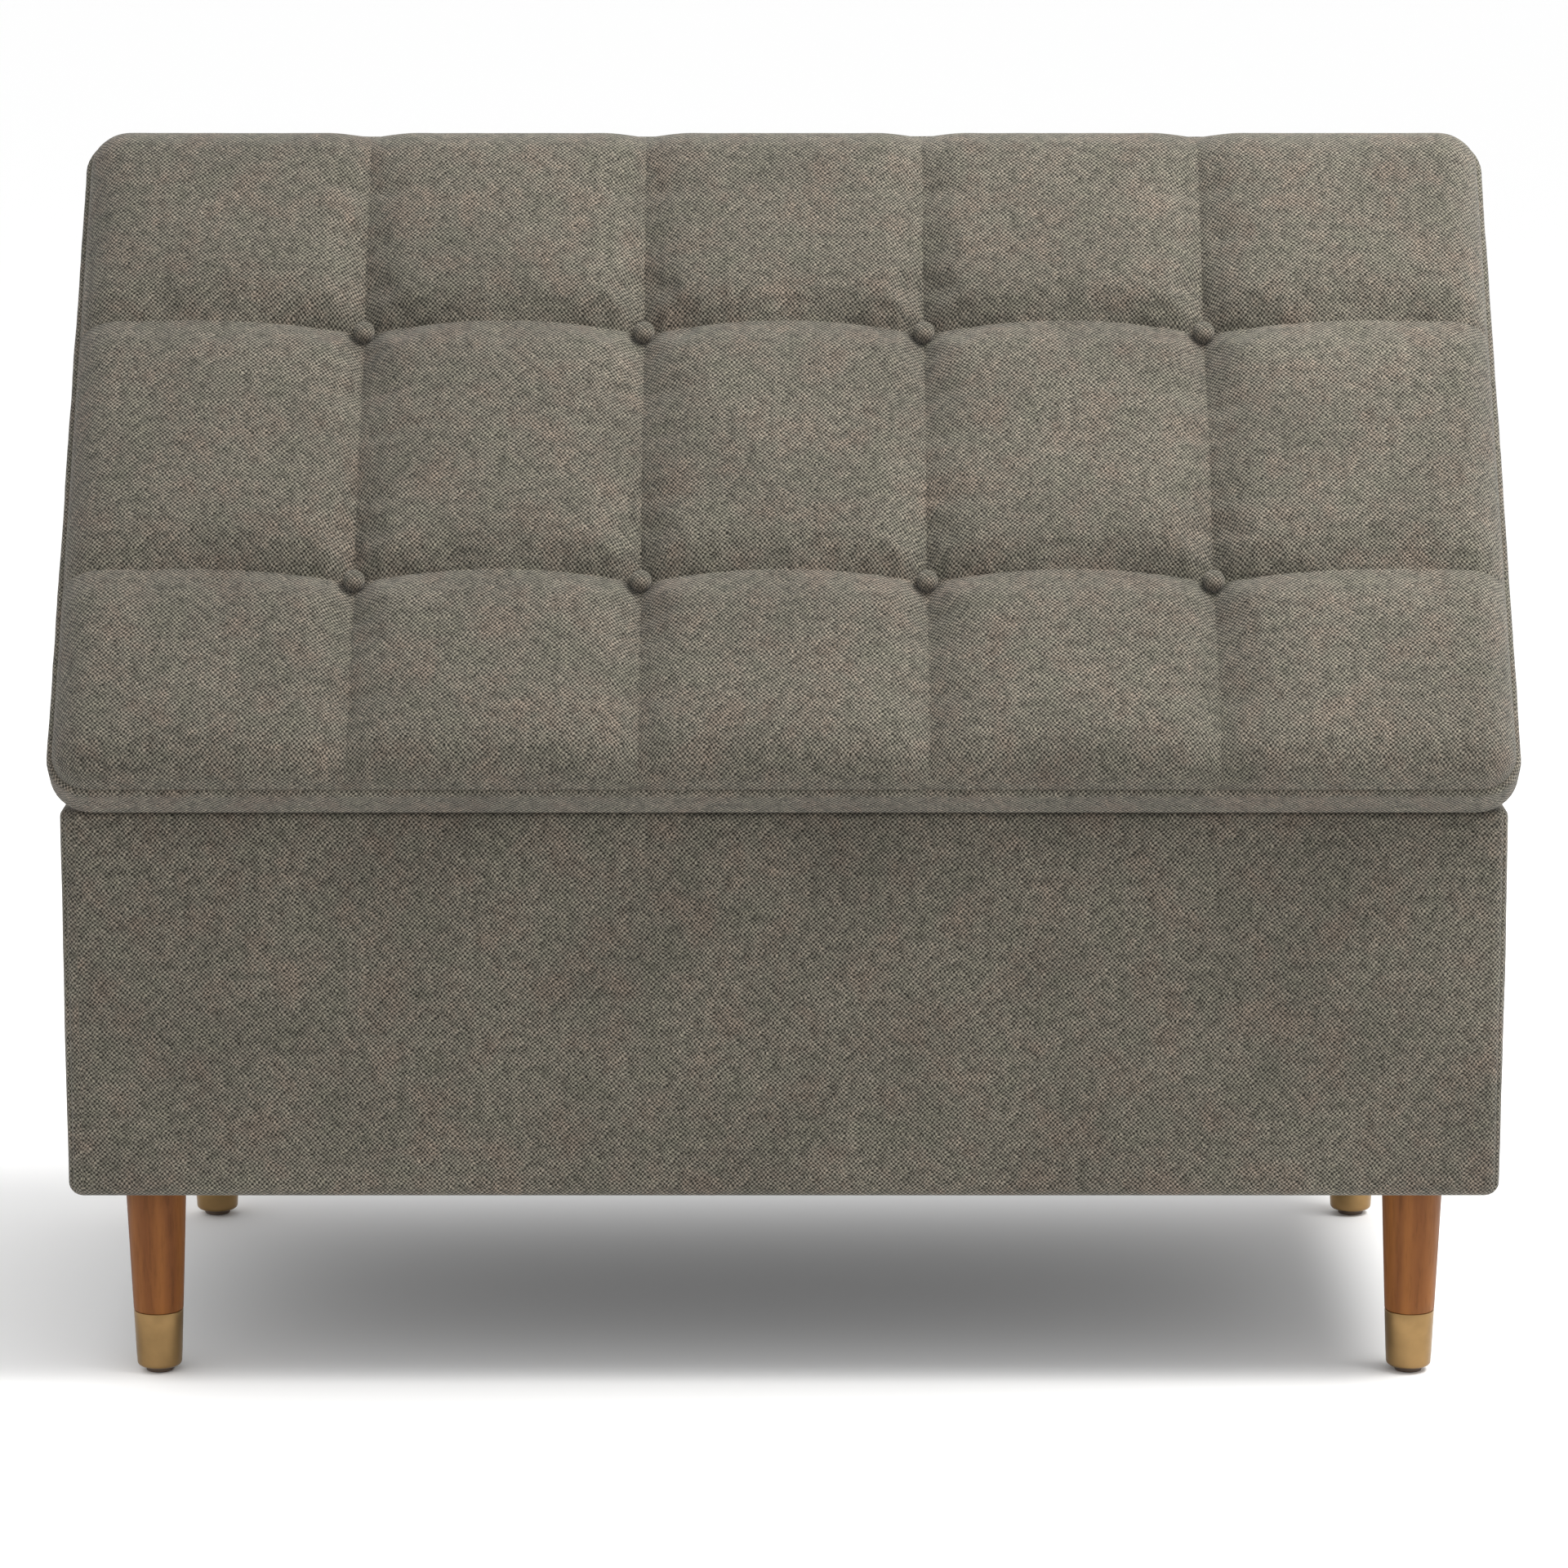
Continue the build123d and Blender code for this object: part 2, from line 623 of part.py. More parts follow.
for name, side in sides.items():
    strut_frame = Plane(
        origin=(side * strut_x, wall_stud_y, wall_stud_z), x_dir=(1, 0, 0), z_dir=strut_dir
    )
    with BuildPart(strut_frame) as strut_cylinder:
        with Locations((0, 0, tube_foot)):
            Cylinder(tube_radius, tube_end - tube_foot, align=centre_low)
        with Locations((0, 0, tube_foot + 2 * tube_wall)):
            bore = tube_end - tube_foot - 2 * tube_wall - gland_length
            Cylinder(bore_radius, bore, align=centre_low, mode=Mode.SUBTRACT)
        with Locations((0, 0, tube_end)):
            Cylinder(
                rod_radius + running_clearance,
                2 * gland_length,
                align=centre_high,
                mode=Mode.SUBTRACT,
            )
        strut_eye(tube_foot + tube_wall)
    save(strut_cylinder.part, f"strut_cylinder_{name}")

    rod_frame = Plane(
        origin=strut_frame.from_local_coords(Vector(0, 0, strut_open)),
        x_dir=(1, 0, 0),
        z_dir=-strut_frame.z_dir,
    )
    rod_length = strut_open - rod_foot - piston_top + piston_length
    with BuildPart(rod_frame) as strut_rod:
        strut_eye(rod_foot)
        with Locations((0, 0, rod_foot - 2 * tube_wall)):
            Cylinder(eye_thickness / 2 + 2 * tube_wall, 4 * tube_wall, align=centre_low)
        with Locations((0, 0, rod_foot)):
            Cylinder(rod_radius, rod_length, align=centre_low)
        with Locations((0, 0, strut_open - piston_top)):
            Cylinder(bore_radius - running_clearance, piston_length, align=centre_low)
    save(strut_rod.part, f"strut_rod_{name}")

    plate_face = wall_face(side, 0)
    with BuildPart() as strut_wall_bracket:
        with BuildSketch(plate_face):
            RectangleRounded(wall_bracket_width, wall_bracket_height, bracket_screw_margin)
        extrude(amount=bracket_thickness)
        stud(plate_face, strut_wall_distance, bracket_thickness)
        add(strut_wall_screws.part, mode=Mode.SUBTRACT)
    save(strut_wall_bracket.part, f"strut_wall_bracket_{name}")

    ear_face = Plane(
        origin=lid_frame.from_local_coords(Vector(side * ear_outer, lid_stud_y, lid_stud_z)),
        x_dir=lid_frame.y_dir,
        z_dir=(-side, 0, 0),
    )
    with BuildPart() as strut_lid_bracket:
        with BuildSketch(ear_face):
            Circle(ear_radius)
            ear_up = (lid_lining_low - lid_stud_z) * side
            with Locations((0, -ear_up / 2)):
                Rectangle(2 * ear_radius, abs(ear_up))
        extrude(amount=ear_thickness)
        stud(ear_face, ear_outer - strut_x, ear_thickness)
        with BuildSketch(lid_frame.offset(lid_bracket_low)):
            with Locations((side * lid_plate_x, lid_stud_y)):
                Rectangle(lid_bracket_width, lid_bracket_length)
        extrude(amount=bracket_thickness)
        add(strut_lid_screws.part, mode=Mode.SUBTRACT)
    save(strut_lid_bracket.part, f"strut_lid_bracket_{name}")
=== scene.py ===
"""An upholstered storage bench: tufted tweed lid, tweed box and turned legs with brass caps."""

import json
from math import cos, exp, hypot, pi, radians, sin, sqrt

import bmesh
import bpy
from bpy.props import FloatProperty, FloatVectorProperty, IntProperty, PointerProperty
from mathutils import Matrix, Vector, noise


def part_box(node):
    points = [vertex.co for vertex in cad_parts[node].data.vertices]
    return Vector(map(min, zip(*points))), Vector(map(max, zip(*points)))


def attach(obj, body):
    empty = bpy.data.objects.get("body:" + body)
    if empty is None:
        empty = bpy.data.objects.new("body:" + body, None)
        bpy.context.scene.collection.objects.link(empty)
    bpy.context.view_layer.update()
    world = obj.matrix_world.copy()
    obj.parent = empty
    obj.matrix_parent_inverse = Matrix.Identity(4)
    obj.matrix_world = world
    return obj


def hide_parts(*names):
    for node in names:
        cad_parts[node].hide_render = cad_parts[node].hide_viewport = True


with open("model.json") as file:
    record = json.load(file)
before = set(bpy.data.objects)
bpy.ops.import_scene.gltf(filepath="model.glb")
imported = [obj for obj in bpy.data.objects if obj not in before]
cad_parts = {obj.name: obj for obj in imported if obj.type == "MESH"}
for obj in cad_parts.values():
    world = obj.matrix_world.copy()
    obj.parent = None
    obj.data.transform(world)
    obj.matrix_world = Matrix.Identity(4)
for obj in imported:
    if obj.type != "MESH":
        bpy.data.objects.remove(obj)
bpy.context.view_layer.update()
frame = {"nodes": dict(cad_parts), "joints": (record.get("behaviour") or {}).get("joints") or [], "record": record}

bl_info = {
    "name": "Storage bench",
    "version": (1, 0, 0),
    "blender": (4, 5, 0),
    "location": "View3D > Sidebar > Bench",
    "description": "Builds an upholstered storage bench around its frame",
    "category": "Add Mesh",
}

MM = 0.001
HINGE = next(joint for joint in frame["joints"] if joint["name"] == "lid_hinge")
OPEN_ANGLE = radians(-HINGE["range_deg"][0])

# Places in the lid are worked out in the lid's own axes: X along the hinge, Y towards the
# opening edge and Z out of the tufted face. This matrix puts them in the bench's frame.
LID = Matrix.Translation(HINGE["pos_m"]) @ Matrix.Rotation(OPEN_ANGLE, 4, "X")


def lid_box(node):
    """Lowest and highest corner of a CAD node in the lid's own axes."""
    to_lid = LID.inverted()
    points = [to_lid @ vertex.co for vertex in frame["nodes"][node].data.vertices]
    low = Vector([min(p[i] for p in points) for i in range(3)])
    high = Vector([max(p[i] for p in points) for i in range(3)])
    return low, high


BAND = lid_box("lid_band")
CROWN = lid_box("lid_top_cover")
BOARD = lid_box("lid_board")
LID_LINING = lid_box("lid_lining")
BUTTONS = lid_box("tuft_buttons")
BOX = [
    Vector([f(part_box(f"base_cover_{side}")[k][i] for side in ("back", "front", "left", "right"))
            for i in range(3)])
    for k, f in ((0, min), (1, max))
]
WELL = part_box("wall_lining")
BUTTON_COLUMNS, BUTTON_ROWS = 4, 2
BAND_CORNER, COVER_CORNER = 31 * MM, 27 * MM      # plan radii of the lid's band and tufted top


# ------------------------------------------------------------------ sizes and colours
def length(name, text, default):
    """A size property in metres."""
    return FloatProperty(name=name, description=text, default=default, unit="LENGTH", precision=4)


def colour(name, text, default):
    """A colour property."""
    return FloatVectorProperty(
        name=name, description=text, default=default, size=3, min=0, max=1, subtype="COLOR"
    )


class BenchSizes(bpy.types.PropertyGroup):
    """Sizes of the soft goods that the frame leaves open."""

    grid_step: length("Grid step", "Spacing of the tufted cover's mesh", 6.0 * MM)
    seam_depth: length("Seam depth", "How far a seam lies under the pillows between buttons", 8.5 * MM)
    button_depth: length("Button depth", "How far a button pulls the cover down", 20.0 * MM)
    seam_arch: length("Seam arch", "Rise of a cross seam between two buttons", 6.0 * MM)
    edge_roll: length("Edge roll", "Width over which the cover falls to its edge seam", 30.0 * MM)
    weave_pitch: length("Weave pitch", "Distance between two yarn floats of the tweed", 3.3 * MM)
    box_corner: length("Box corner", "Radius of the box's upright corners", 11.0 * MM)
    box_swell: length("Box swell", "How far the box's sides bulge", 2.2 * MM)
    frames: IntProperty(name="Frames", description="Steps of the cloth simulation", default=22)


class BenchColours(bpy.types.PropertyGroup):
    """Colours of the bench's finishes."""

    # The colour between the yarns: partly the under-yarns' own darker tone, partly painted shade in the weave's
    # hollows.
    yarn_gap_tone_and_shade: colour("Yarn shade", "Tweed between the yarns", (0.010, 0.009, 0.006))
    yarn_light: colour("Yarn light", "Tweed on top of the yarns", (0.238, 0.219, 0.180))
    fleck_warm: colour("Warm fleck", "Reddish flecks in the tweed", (1.09, 0.985, 0.955))
    fleck_cool: colour("Cool fleck", "Greenish flecks in the tweed", (0.925, 0.945, 0.90))
    wood_dark: colour("Wood dark", "Dark grain of the legs", (0.118, 0.036, 0.007))
    wood_light: colour("Wood light", "Light grain of the legs", (0.262, 0.098, 0.020))
    brass: colour("Brass", "Metal of the leg caps", (0.285, 0.180, 0.078))
    lining: colour("Lining", "Cloth inside the box", (0.022, 0.022, 0.023))


# ------------------------------------------------------------------ mesh helpers
def deselect():
    """Leave edit mode and clear the selection, so that an operator acts on one piece alone."""
    if bpy.context.mode != "OBJECT":
        bpy.ops.object.mode_set(mode="OBJECT")
    bpy.ops.object.select_all(action="DESELECT")


def select_only(piece):
    """Make one piece the selected and active one."""
    deselect()
    piece.select_set(True)
    bpy.context.view_layer.objects.active = piece


def finish_piece(piece, body, slot, material, *replaced):
    """Give a piece its body and finish, and hide the CAD nodes that it stands for."""
    piece.data.materials.clear()
    piece.data.materials.append(material)
    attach(piece, body)
    if replaced:
        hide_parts(*replaced)
    return piece


def place(piece, matrix):
    """Put a piece's place into its mesh, and leave its object at the origin."""
    piece.data.transform(matrix @ piece.matrix_world)
    piece.matrix_world = Matrix.Identity(4)


def smooth(piece, angle=40):
    """Shade a piece smooth, except over edges sharper than an angle in degrees."""
    select_only(piece)
    bpy.ops.object.shade_smooth_by_angle(angle=radians(angle))
    deselect()


def apply_modifier(piece, kind, **settings):
    """Add a modifier to a piece and apply it."""
    select_only(piece)
    modifier = piece.modifiers.new(kind.title(), kind)
    for key, value in settings.items():
        setattr(modifier, key, value)
    bpy.ops.object.modifier_apply(modifier=modifier.name)
    deselect()


def turned(name, profile, steps=64):
    """A turned piece: a point drawn out along a profile of (radius, height) and spun about Z."""
    deselect()
    radius, height = profile[0]
    bpy.ops.mesh.primitive_plane_add(size=MM, location=(radius, 0, height))
    piece = bpy.context.active_object
    piece.name = name
    bpy.ops.object.transform_apply(location=True)
    bpy.ops.object.mode_set(mode="EDIT")
    bpy.ops.mesh.merge(type="CENTER")
    for before, after in zip(profile, profile[1:]):
        step = (after[0] - before[0], 0, after[1] - before[1])
        bpy.ops.mesh.extrude_region_move(TRANSFORM_OT_translate={"value": step})
    bpy.ops.mesh.select_all(action="SELECT")
    bpy.ops.mesh.spin(steps=steps, angle=2 * pi, center=(0, 0, 0), axis=(0, 0, 1))
    bpy.ops.mesh.select_all(action="SELECT")
    bpy.ops.mesh.remove_doubles(threshold=0.01 * MM)
    bpy.ops.mesh.normals_make_consistent(inside=False)
    bpy.ops.object.mode_set(mode="OBJECT")
    deselect()
    return piece


def copy_piece(piece, name, matrix):
    """A copy of a piece with its own mesh, placed by a matrix."""
    twin = piece.copy()
    twin.data = piece.data.copy()
    twin.name = name
    bpy.context.scene.collection.objects.link(twin)
    place(twin, matrix)
    return twin


def join(pieces, name):
    """Several meshes as one piece."""
    deselect()
    for piece in pieces:
        piece.select_set(True)
    bpy.context.view_layer.objects.active = pieces[0]
    bpy.ops.object.join()
    whole = bpy.context.active_object
    whole.name = name
    deselect()
    return whole


def arc(centre, radius, start, end, steps):
    """Points (inset, height) of an arc, with angles in degrees from the inward direction."""
    angles = [radians(start + (end - start) * i / steps) for i in range(steps + 1)]
    return [(centre[0] + radius * cos(a), centre[1] + radius * sin(a)) for a in angles]


def outline(half_x, half_y, radius, step, seams_at_corners):
    """Stations round a rounded rectangle: corner centre or edge point, direction and length."""
    stations, travelled = [], 0.0
    fine = [f * MM for f in (-3.0, -1.6, -0.8, 0.0, 0.8, 1.6, 3.0)]
    runs = [
        ((1, 0), (0, -1), half_x, half_y),
        ((0, 1), (1, 0), half_y, half_x),
        ((-1, 0), (0, 1), half_x, half_y),
        ((0, -1), (-1, 0), half_y, half_x),
    ]
    for along, out, half, away in runs:
        run = 2 * (half - radius)
        count = max(2, round(run / step))
        for i in range(count):
            at = -run / 2 + run * i / count
            point = Vector((along[0] * at + out[0] * away, along[1] * at + out[1] * away))
            stations.append((point, Vector(out), travelled + run * i / count, None))
        travelled += run
        corner = Vector(
            (
                along[0] * (half - radius) + out[0] * (away - radius),
                along[1] * (half - radius) + out[1] * (away - radius),
            )
        )
        quarter = pi / 2 * radius
        if seams_at_corners:
            ends = [quarter / 2 + f for f in fine if abs(f) < quarter / 2 - 0.5 * MM]
            lengths = sorted([0.0, quarter * 0.15, quarter * 0.85] + ends)
        else:
            lengths = [quarter * i / 10 for i in range(10)]
        for bent in lengths:
            turn = bent / radius
            out_now = Vector(out) * cos(turn) + Vector(along) * sin(turn)
            point = corner + out_now * radius
            stations.append((point, out_now, travelled + bent, bent - quarter / 2))
        travelled += quarter
    return stations, travelled


def soft_ring(name, half_x, half_y, radius, profile, displace, step=12 * MM, corner_seams=True):
    """A band of cloth round a rounded rectangle, from its profile of (inset, height) points.

    The displace function gives each point's shift outwards from its length round the
    band, its length down the profile and its distance from the nearest corner seam.
    """
    stations, around = outline(half_x, half_y, radius, step, corner_seams)
    mesh = bmesh.new()
    uv = mesh.loops.layers.uv.new("Weave")
    down = [0.0]
    for before, after in zip(profile, profile[1:]):
        down.append(down[-1] + hypot(after[0] - before[0], after[1] - before[1]))
    grid = []
    for point, out, travelled, from_seam in stations:
        column = []
        for (inset, height), fallen in zip(profile, down):
            shift = displace(travelled, fallen, from_seam, point)
            taken = inset - shift
            x, y = point - out * min(taken, radius)
            if taken > radius:
                x = max(-(half_x - taken), min(half_x - taken, x - out.x * (taken - radius)))
                y = max(-(half_y - taken), min(half_y - taken, y - out.y * (taken - radius)))
                if from_seam is not None:
                    x = (half_x - taken) * (1 if point.x > 0 else -1)
                    y = (half_y - taken) * (1 if point.y > 0 else -1)
            column.append(mesh.verts.new((x, y, height)))
        grid.append(column)
    lengths = [station[2] for station in stations] + [around]
    for i in range(len(grid)):
        following = grid[(i + 1) % len(grid)]
        for j in range(len(profile) - 1):
            face = mesh.faces.new((grid[i][j], following[j], following[j + 1], grid[i][j + 1]))
            corners = ((i, j), (i + 1, j), (i + 1, j + 1), (i, j + 1))
            for loop, (a, b) in zip(face.loops, corners):
                loop[uv].uv = (lengths[a], -down[b])
    mesh.normal_update()
    outward = sum(f.calc_area() * f.normal.xy.dot(f.calc_center_median().xy) for f in mesh.faces)
    if outward < 0:
        bmesh.ops.reverse_faces(mesh, faces=mesh.faces[:])
    bmesh.ops.remove_doubles(mesh, verts=mesh.verts[:], dist=0.02 * MM)
    bmesh.ops.dissolve_degenerate(mesh, edges=mesh.edges[:], dist=0.01 * MM)
    data = bpy.data.meshes.new(name)
    mesh.to_mesh(data)
    mesh.free()
    piece = bpy.data.objects.new(name, data)
    bpy.context.scene.collection.objects.link(piece)
    return piece


def cloth_sheet(name, low, high, level, step, ripple, scale, facing_up=True):
    """A flat sheet between two corners with soft ripples, modelled from a grid primitive."""
    deselect()
    size = (high[0] - low[0], high[1] - low[1])
    bpy.ops.mesh.primitive_grid_add(
        x_subdivisions=round(size[0] / step),
        y_subdivisions=round(size[1] / step),
        size=1,
        location=((low[0] + high[0]) / 2, (low[1] + high[1]) / 2, level),
    )
    piece = bpy.context.active_object
    piece.name = name
    piece.scale = (size[0], size[1], 1)
    bpy.ops.object.transform_apply(location=True, scale=True)
    half = (size[0] / 2, size[1] / 2)
    centre = ((low[0] + high[0]) / 2, (low[1] + high[1]) / 2)
    uv = piece.data.uv_layers.new(name="Weave")
    for loop in piece.data.loops:
        x, y, _ = piece.data.vertices[loop.vertex_index].co
        uv.data[loop.index].uv = (x, y)
    for vertex in piece.data.vertices:
        x, y, z = vertex.co
        inside = min(half[0] - abs(x - centre[0]), half[1] - abs(y - centre[1]))
        fade = min(1.0, inside / (30 * MM))
        lift = noise.noise(Vector((x * scale, y * scale * 1.7, 3.1))) + 1
        vertex.co.z = z + (ripple if facing_up else -ripple) * lift * fade / 2
    if not facing_up:
        piece.data.flip_normals()
    return piece


# ------------------------------------------------------------------ materials
def add_node(tree, kind, settings=None, **inputs):
    """A shader node with its settings, and its inputs linked or set."""
    node = tree.nodes.new(kind)
    for key, value in (settings or {}).items():
        setattr(node, key, value)
    for key, value in inputs.items():
        socket = node.inputs[int(key[1:])] if key[0] == "_" else node.inputs[key]
        if isinstance(value, bpy.types.NodeSocket):
            tree.links.new(value, socket)
        else:
            socket.default_value = value
    return node


def maths(tree, operation, first, second=0.0):
    """The result of one math node."""
    return add_node(tree, "ShaderNodeMath", {"operation": operation}, _0=first, _1=second).outputs[0]


def ramp(tree, factor, *stops):
    """A colour ramp from (position, colour) stops."""
    node = add_node(tree, "ShaderNodeValToRGB", None, Fac=factor)
    elements = node.color_ramp.elements
    while len(elements) < len(stops):
        elements.new(0.5)
    for element, (position, value) in zip(elements, stops):
        element.position = position
        element.color = (*value, 1) if hasattr(value, "__len__") else (value, value, value, 1)
    return node.outputs["Color"]


def mix(tree, kind, factor, first, second):
    """Two colours mixed."""
    settings = {"data_type": "RGBA", "blend_type": kind}
    node = add_node(tree, "ShaderNodeMix", settings, Factor=factor, _6=first, _7=second)
    return node.outputs[2]


def noise_at(tree, vector, scale, detail=2.0, roughness=0.5):
    """A noise pattern's value, with its scale in cycles to the metre."""
    node = add_node(
        tree, "ShaderNodeTexNoise", None, Vector=vector, Scale=scale, Detail=detail, Roughness=roughness
    )
    return node.outputs["Fac"]


def new_material(name):
    """A material with its default node tree, its shader and its tree."""
    material = bpy.data.materials.new(name)
    material.use_nodes = True
    tree = material.node_tree
    shader = tree.nodes["Principled BSDF"]
    return material, shader, tree


def bump(tree, shader, height, distance, strength=1.0):
    """Bump on a shader from a height between 0 and 1 and its depth in metres."""
    node = add_node(tree, "ShaderNodeBump", None, Height=height, Distance=distance, Strength=strength)
    tree.links.new(node.outputs["Normal"], shader.inputs["Normal"])


def tweed_material(name, colours, pitch):
    """Woven tweed on the piece's Weave map: yarn floats in a diagonal lattice with painted shade in the hollows
    between them, and flecks.
    """
    material, shader, tree = new_material(name)
    weave_map = add_node(tree, "ShaderNodeUVMap", {"uv_map": "Weave"}).outputs["UV"]
    wander = add_node(tree, "ShaderNodeTexNoise", None, Vector=weave_map, Scale=150.0, Detail=3.0)
    shifted = add_node(
        tree, "ShaderNodeVectorMath", {"operation": "MULTIPLY_ADD"},
        _0=wander.outputs["Color"], _1=(4.0 * MM,) * 3, _2=weave_map,
    ).outputs[0]
    yarns = add_node(tree, "ShaderNodeSeparateXYZ", None, _0=shifted)
    turns = 2 * pi / pitch
    across = maths(tree, "COSINE", maths(tree, "MULTIPLY", yarns.outputs[0], turns))
    along = maths(tree, "COSINE", maths(tree, "MULTIPLY", yarns.outputs[1], turns))
    floats = maths(tree, "MULTIPLY", across, along)
    slub = ramp(tree, noise_at(tree, weave_map, 240.0, 3.0), (0.3, 0.35), (0.7, 1.25))
    fibre = noise_at(tree, weave_map, 900.0, 3.0, 0.7)
    height = maths(tree, "MULTIPLY_ADD", maths(tree, "MULTIPLY", floats, slub), 0.34)
    height.node.inputs[2].default_value = 0.5
    fuzz = maths(tree, "MULTIPLY", maths(tree, "SUBTRACT", fibre, 0.5), 0.55)
    height = maths(tree, "ADD", height, fuzz)
    dark, light = tuple(colours.yarn_gap_tone_and_shade), tuple(colours.yarn_light)
    half_way = tuple((a + b) / 2.5 for a, b in zip(dark, light))
    # Low weave height takes the dark colour and high weave height the light one: painted shade in the hollows
    # between the floats, over the yarns' own tone.
    base = ramp(tree, height, (0.26, dark), (0.5, half_way), (0.76, light))
    fleck = ramp(
        tree, noise_at(tree, weave_map, 26.0, 6.0, 0.72),
        (0.38, tuple(colours.fleck_cool)),
        (0.50, (1.0, 0.985, 0.965)),
        (0.63, tuple(colours.fleck_warm)),
    )
    small_fleck = ramp(
        tree, noise_at(tree, weave_map, 150.0, 3.0, 0.6),
        (0.34, (0.68, 0.68, 0.67)), (0.50, (1.0, 1.0, 1.0)), (0.68, (1.28, 1.25, 1.23)),
    )
    nap = ramp(tree, noise_at(tree, weave_map, 9.0, 4.0, 0.62), (0.36, 0.86), (0.62, 1.06))
    shade = mix(tree, "MULTIPLY", 1.0, base, fleck)
    shade = mix(tree, "MULTIPLY", 1.0, shade, small_fleck)
    shade = mix(tree, "MULTIPLY", 1.0, shade, nap)
    tree.links.new(shade, shader.inputs["Base Color"])
    shader.inputs["Roughness"].default_value = 0.93
    shader.inputs["Specular IOR Level"].default_value = 0.18
    shader.inputs["Sheen Weight"].default_value = 0.12
    shader.inputs["Sheen Roughness"].default_value = 0.5
    bump(tree, shader, height, 1.3 * MM, 0.8)
    return material


def lining_material(name, tint):
    """Black pressed cloth with short random fibres and a faint grid of bonding points."""
    material, shader, tree = new_material(name)
    place_map = add_node(tree, "ShaderNodeTexCoord").outputs["Object"]
    fibre = noise_at(tree, place_map, 700.0, 4.0, 0.75)
    cloud = noise_at(tree, place_map, 14.0, 3.0)
    points = add_node(tree, "ShaderNodeTexVoronoi", {"feature": "F1"}, Vector=place_map, Scale=420.0)
    height = maths(tree, "ADD", fibre, maths(tree, "MULTIPLY", points.outputs["Distance"], 0.5))
    light = tuple(2.4 * c + 0.008 for c in tint)
    base = ramp(tree, fibre, (0.3, tuple(0.6 * c for c in tint)), (0.8, light))
    cloudy = ramp(tree, cloud, (0.3, 0.8), (0.7, 1.15))
    tree.links.new(mix(tree, "MULTIPLY", 1.0, base, cloudy), shader.inputs["Base Color"])
    shader.inputs["Roughness"].default_value = 0.88
    shader.inputs["Specular IOR Level"].default_value = 0.25
    bump(tree, shader, height, 0.4 * MM, 0.6)
    return material


def wood_material(name, dark, light, grain, gloss, coat):
    """Wood with its grain along Z on legs, or along X on boards."""
    material, shader, tree = new_material(name)
    place_map = add_node(tree, "ShaderNodeTexCoord").outputs["Object"]
    stretched = add_node(tree, "ShaderNodeMapping", None, Vector=place_map, Scale=grain).outputs[0]
    figure = noise_at(tree, stretched, 1.0, 5.0, 0.6)
    pores = noise_at(tree, stretched, 7.0, 4.0, 0.7)
    rings = add_node(
        tree, "ShaderNodeTexWave", {"wave_type": "BANDS", "bands_direction": "X"},
        Vector=stretched, Scale=0.45, Distortion=5.0, Detail=3.0,
    ).outputs["Fac"]
    blend = maths(
        tree, "ADD", maths(tree, "MULTIPLY", figure, 0.8), maths(tree, "MULTIPLY", rings, 0.16)
    )
    half_way = tuple((a + b) / 2 for a, b in zip(dark, light))
    base = ramp(tree, blend, (0.25, dark), (0.5, half_way), (0.78, light))
    streaks = ramp(tree, pores, (0.34, 0.80), (0.5, 1.0), (0.75, 1.06))
    tree.links.new(mix(tree, "MULTIPLY", 1.0, base, streaks), shader.inputs["Base Color"])
    rough = ramp(tree, pores, (0.3, gloss + 0.15), (0.6, gloss))
    tree.links.new(rough, shader.inputs["Roughness"])
    shader.inputs["Specular IOR Level"].default_value = 0.18
    shader.inputs["Coat Weight"].default_value = coat
    shader.inputs["Coat Roughness"].default_value = 0.3
    bump(tree, shader, pores, 0.15 * MM, 0.35)
    return material


def metal_material(name, tint, gloss, brushed=(40.0, 40.0, 900.0), depth=0.03):
    """Brushed or drawn metal with fine lines and cloudy wear in its gloss."""
    material, shader, tree = new_material(name)
    place_map = add_node(tree, "ShaderNodeTexCoord").outputs["Object"]
    stretched = add_node(tree, "ShaderNodeMapping", None, Vector=place_map, Scale=brushed).outputs[0]
    lines = noise_at(tree, stretched, 1.0, 3.0, 0.6)
    cloud = noise_at(tree, place_map, 60.0, 3.0)
    worn = mix(tree, "MULTIPLY", 1.0, (*tint, 1), ramp(tree, cloud, (0.3, 0.86), (0.7, 1.06)))
    tree.links.new(worn, shader.inputs["Base Color"])
    rough = maths(tree, "MULTIPLY_ADD", lines, 0.16)
    rough.node.inputs[2].default_value = gloss - 0.08
    tree.links.new(rough, shader.inputs["Roughness"])
    shader.inputs["Metallic"].default_value = 1.0
    bump(tree, shader, lines, depth * MM, 0.4)
    return material


def coated_material(name, tint, gloss, grain=500.0, depth=0.06):
    """Enamel, rubber, nylon or twine: one colour with a fine skin and cloudy variation."""
    material, shader, tree = new_material(name)
    place_map = add_node(tree, "ShaderNodeTexCoord").outputs["Object"]
    skin = noise_at(tree, place_map, grain, 3.0, 0.6)
    cloud = ramp(tree, noise_at(tree, place_map, 45.0, 3.0), (0.3, 0.82), (0.7, 1.12))
    tree.links.new(mix(tree, "MULTIPLY", 1.0, (*tint, 1), cloud), shader.inputs["Base Color"])
    rough = maths(tree, "MULTIPLY_ADD", skin, 0.2)
    rough.node.inputs[2].default_value = gloss - 0.1
    tree.links.new(rough, shader.inputs["Roughness"])
    bump(tree, shader, skin, depth * MM, 0.5)
    return material


FINISHES = {}


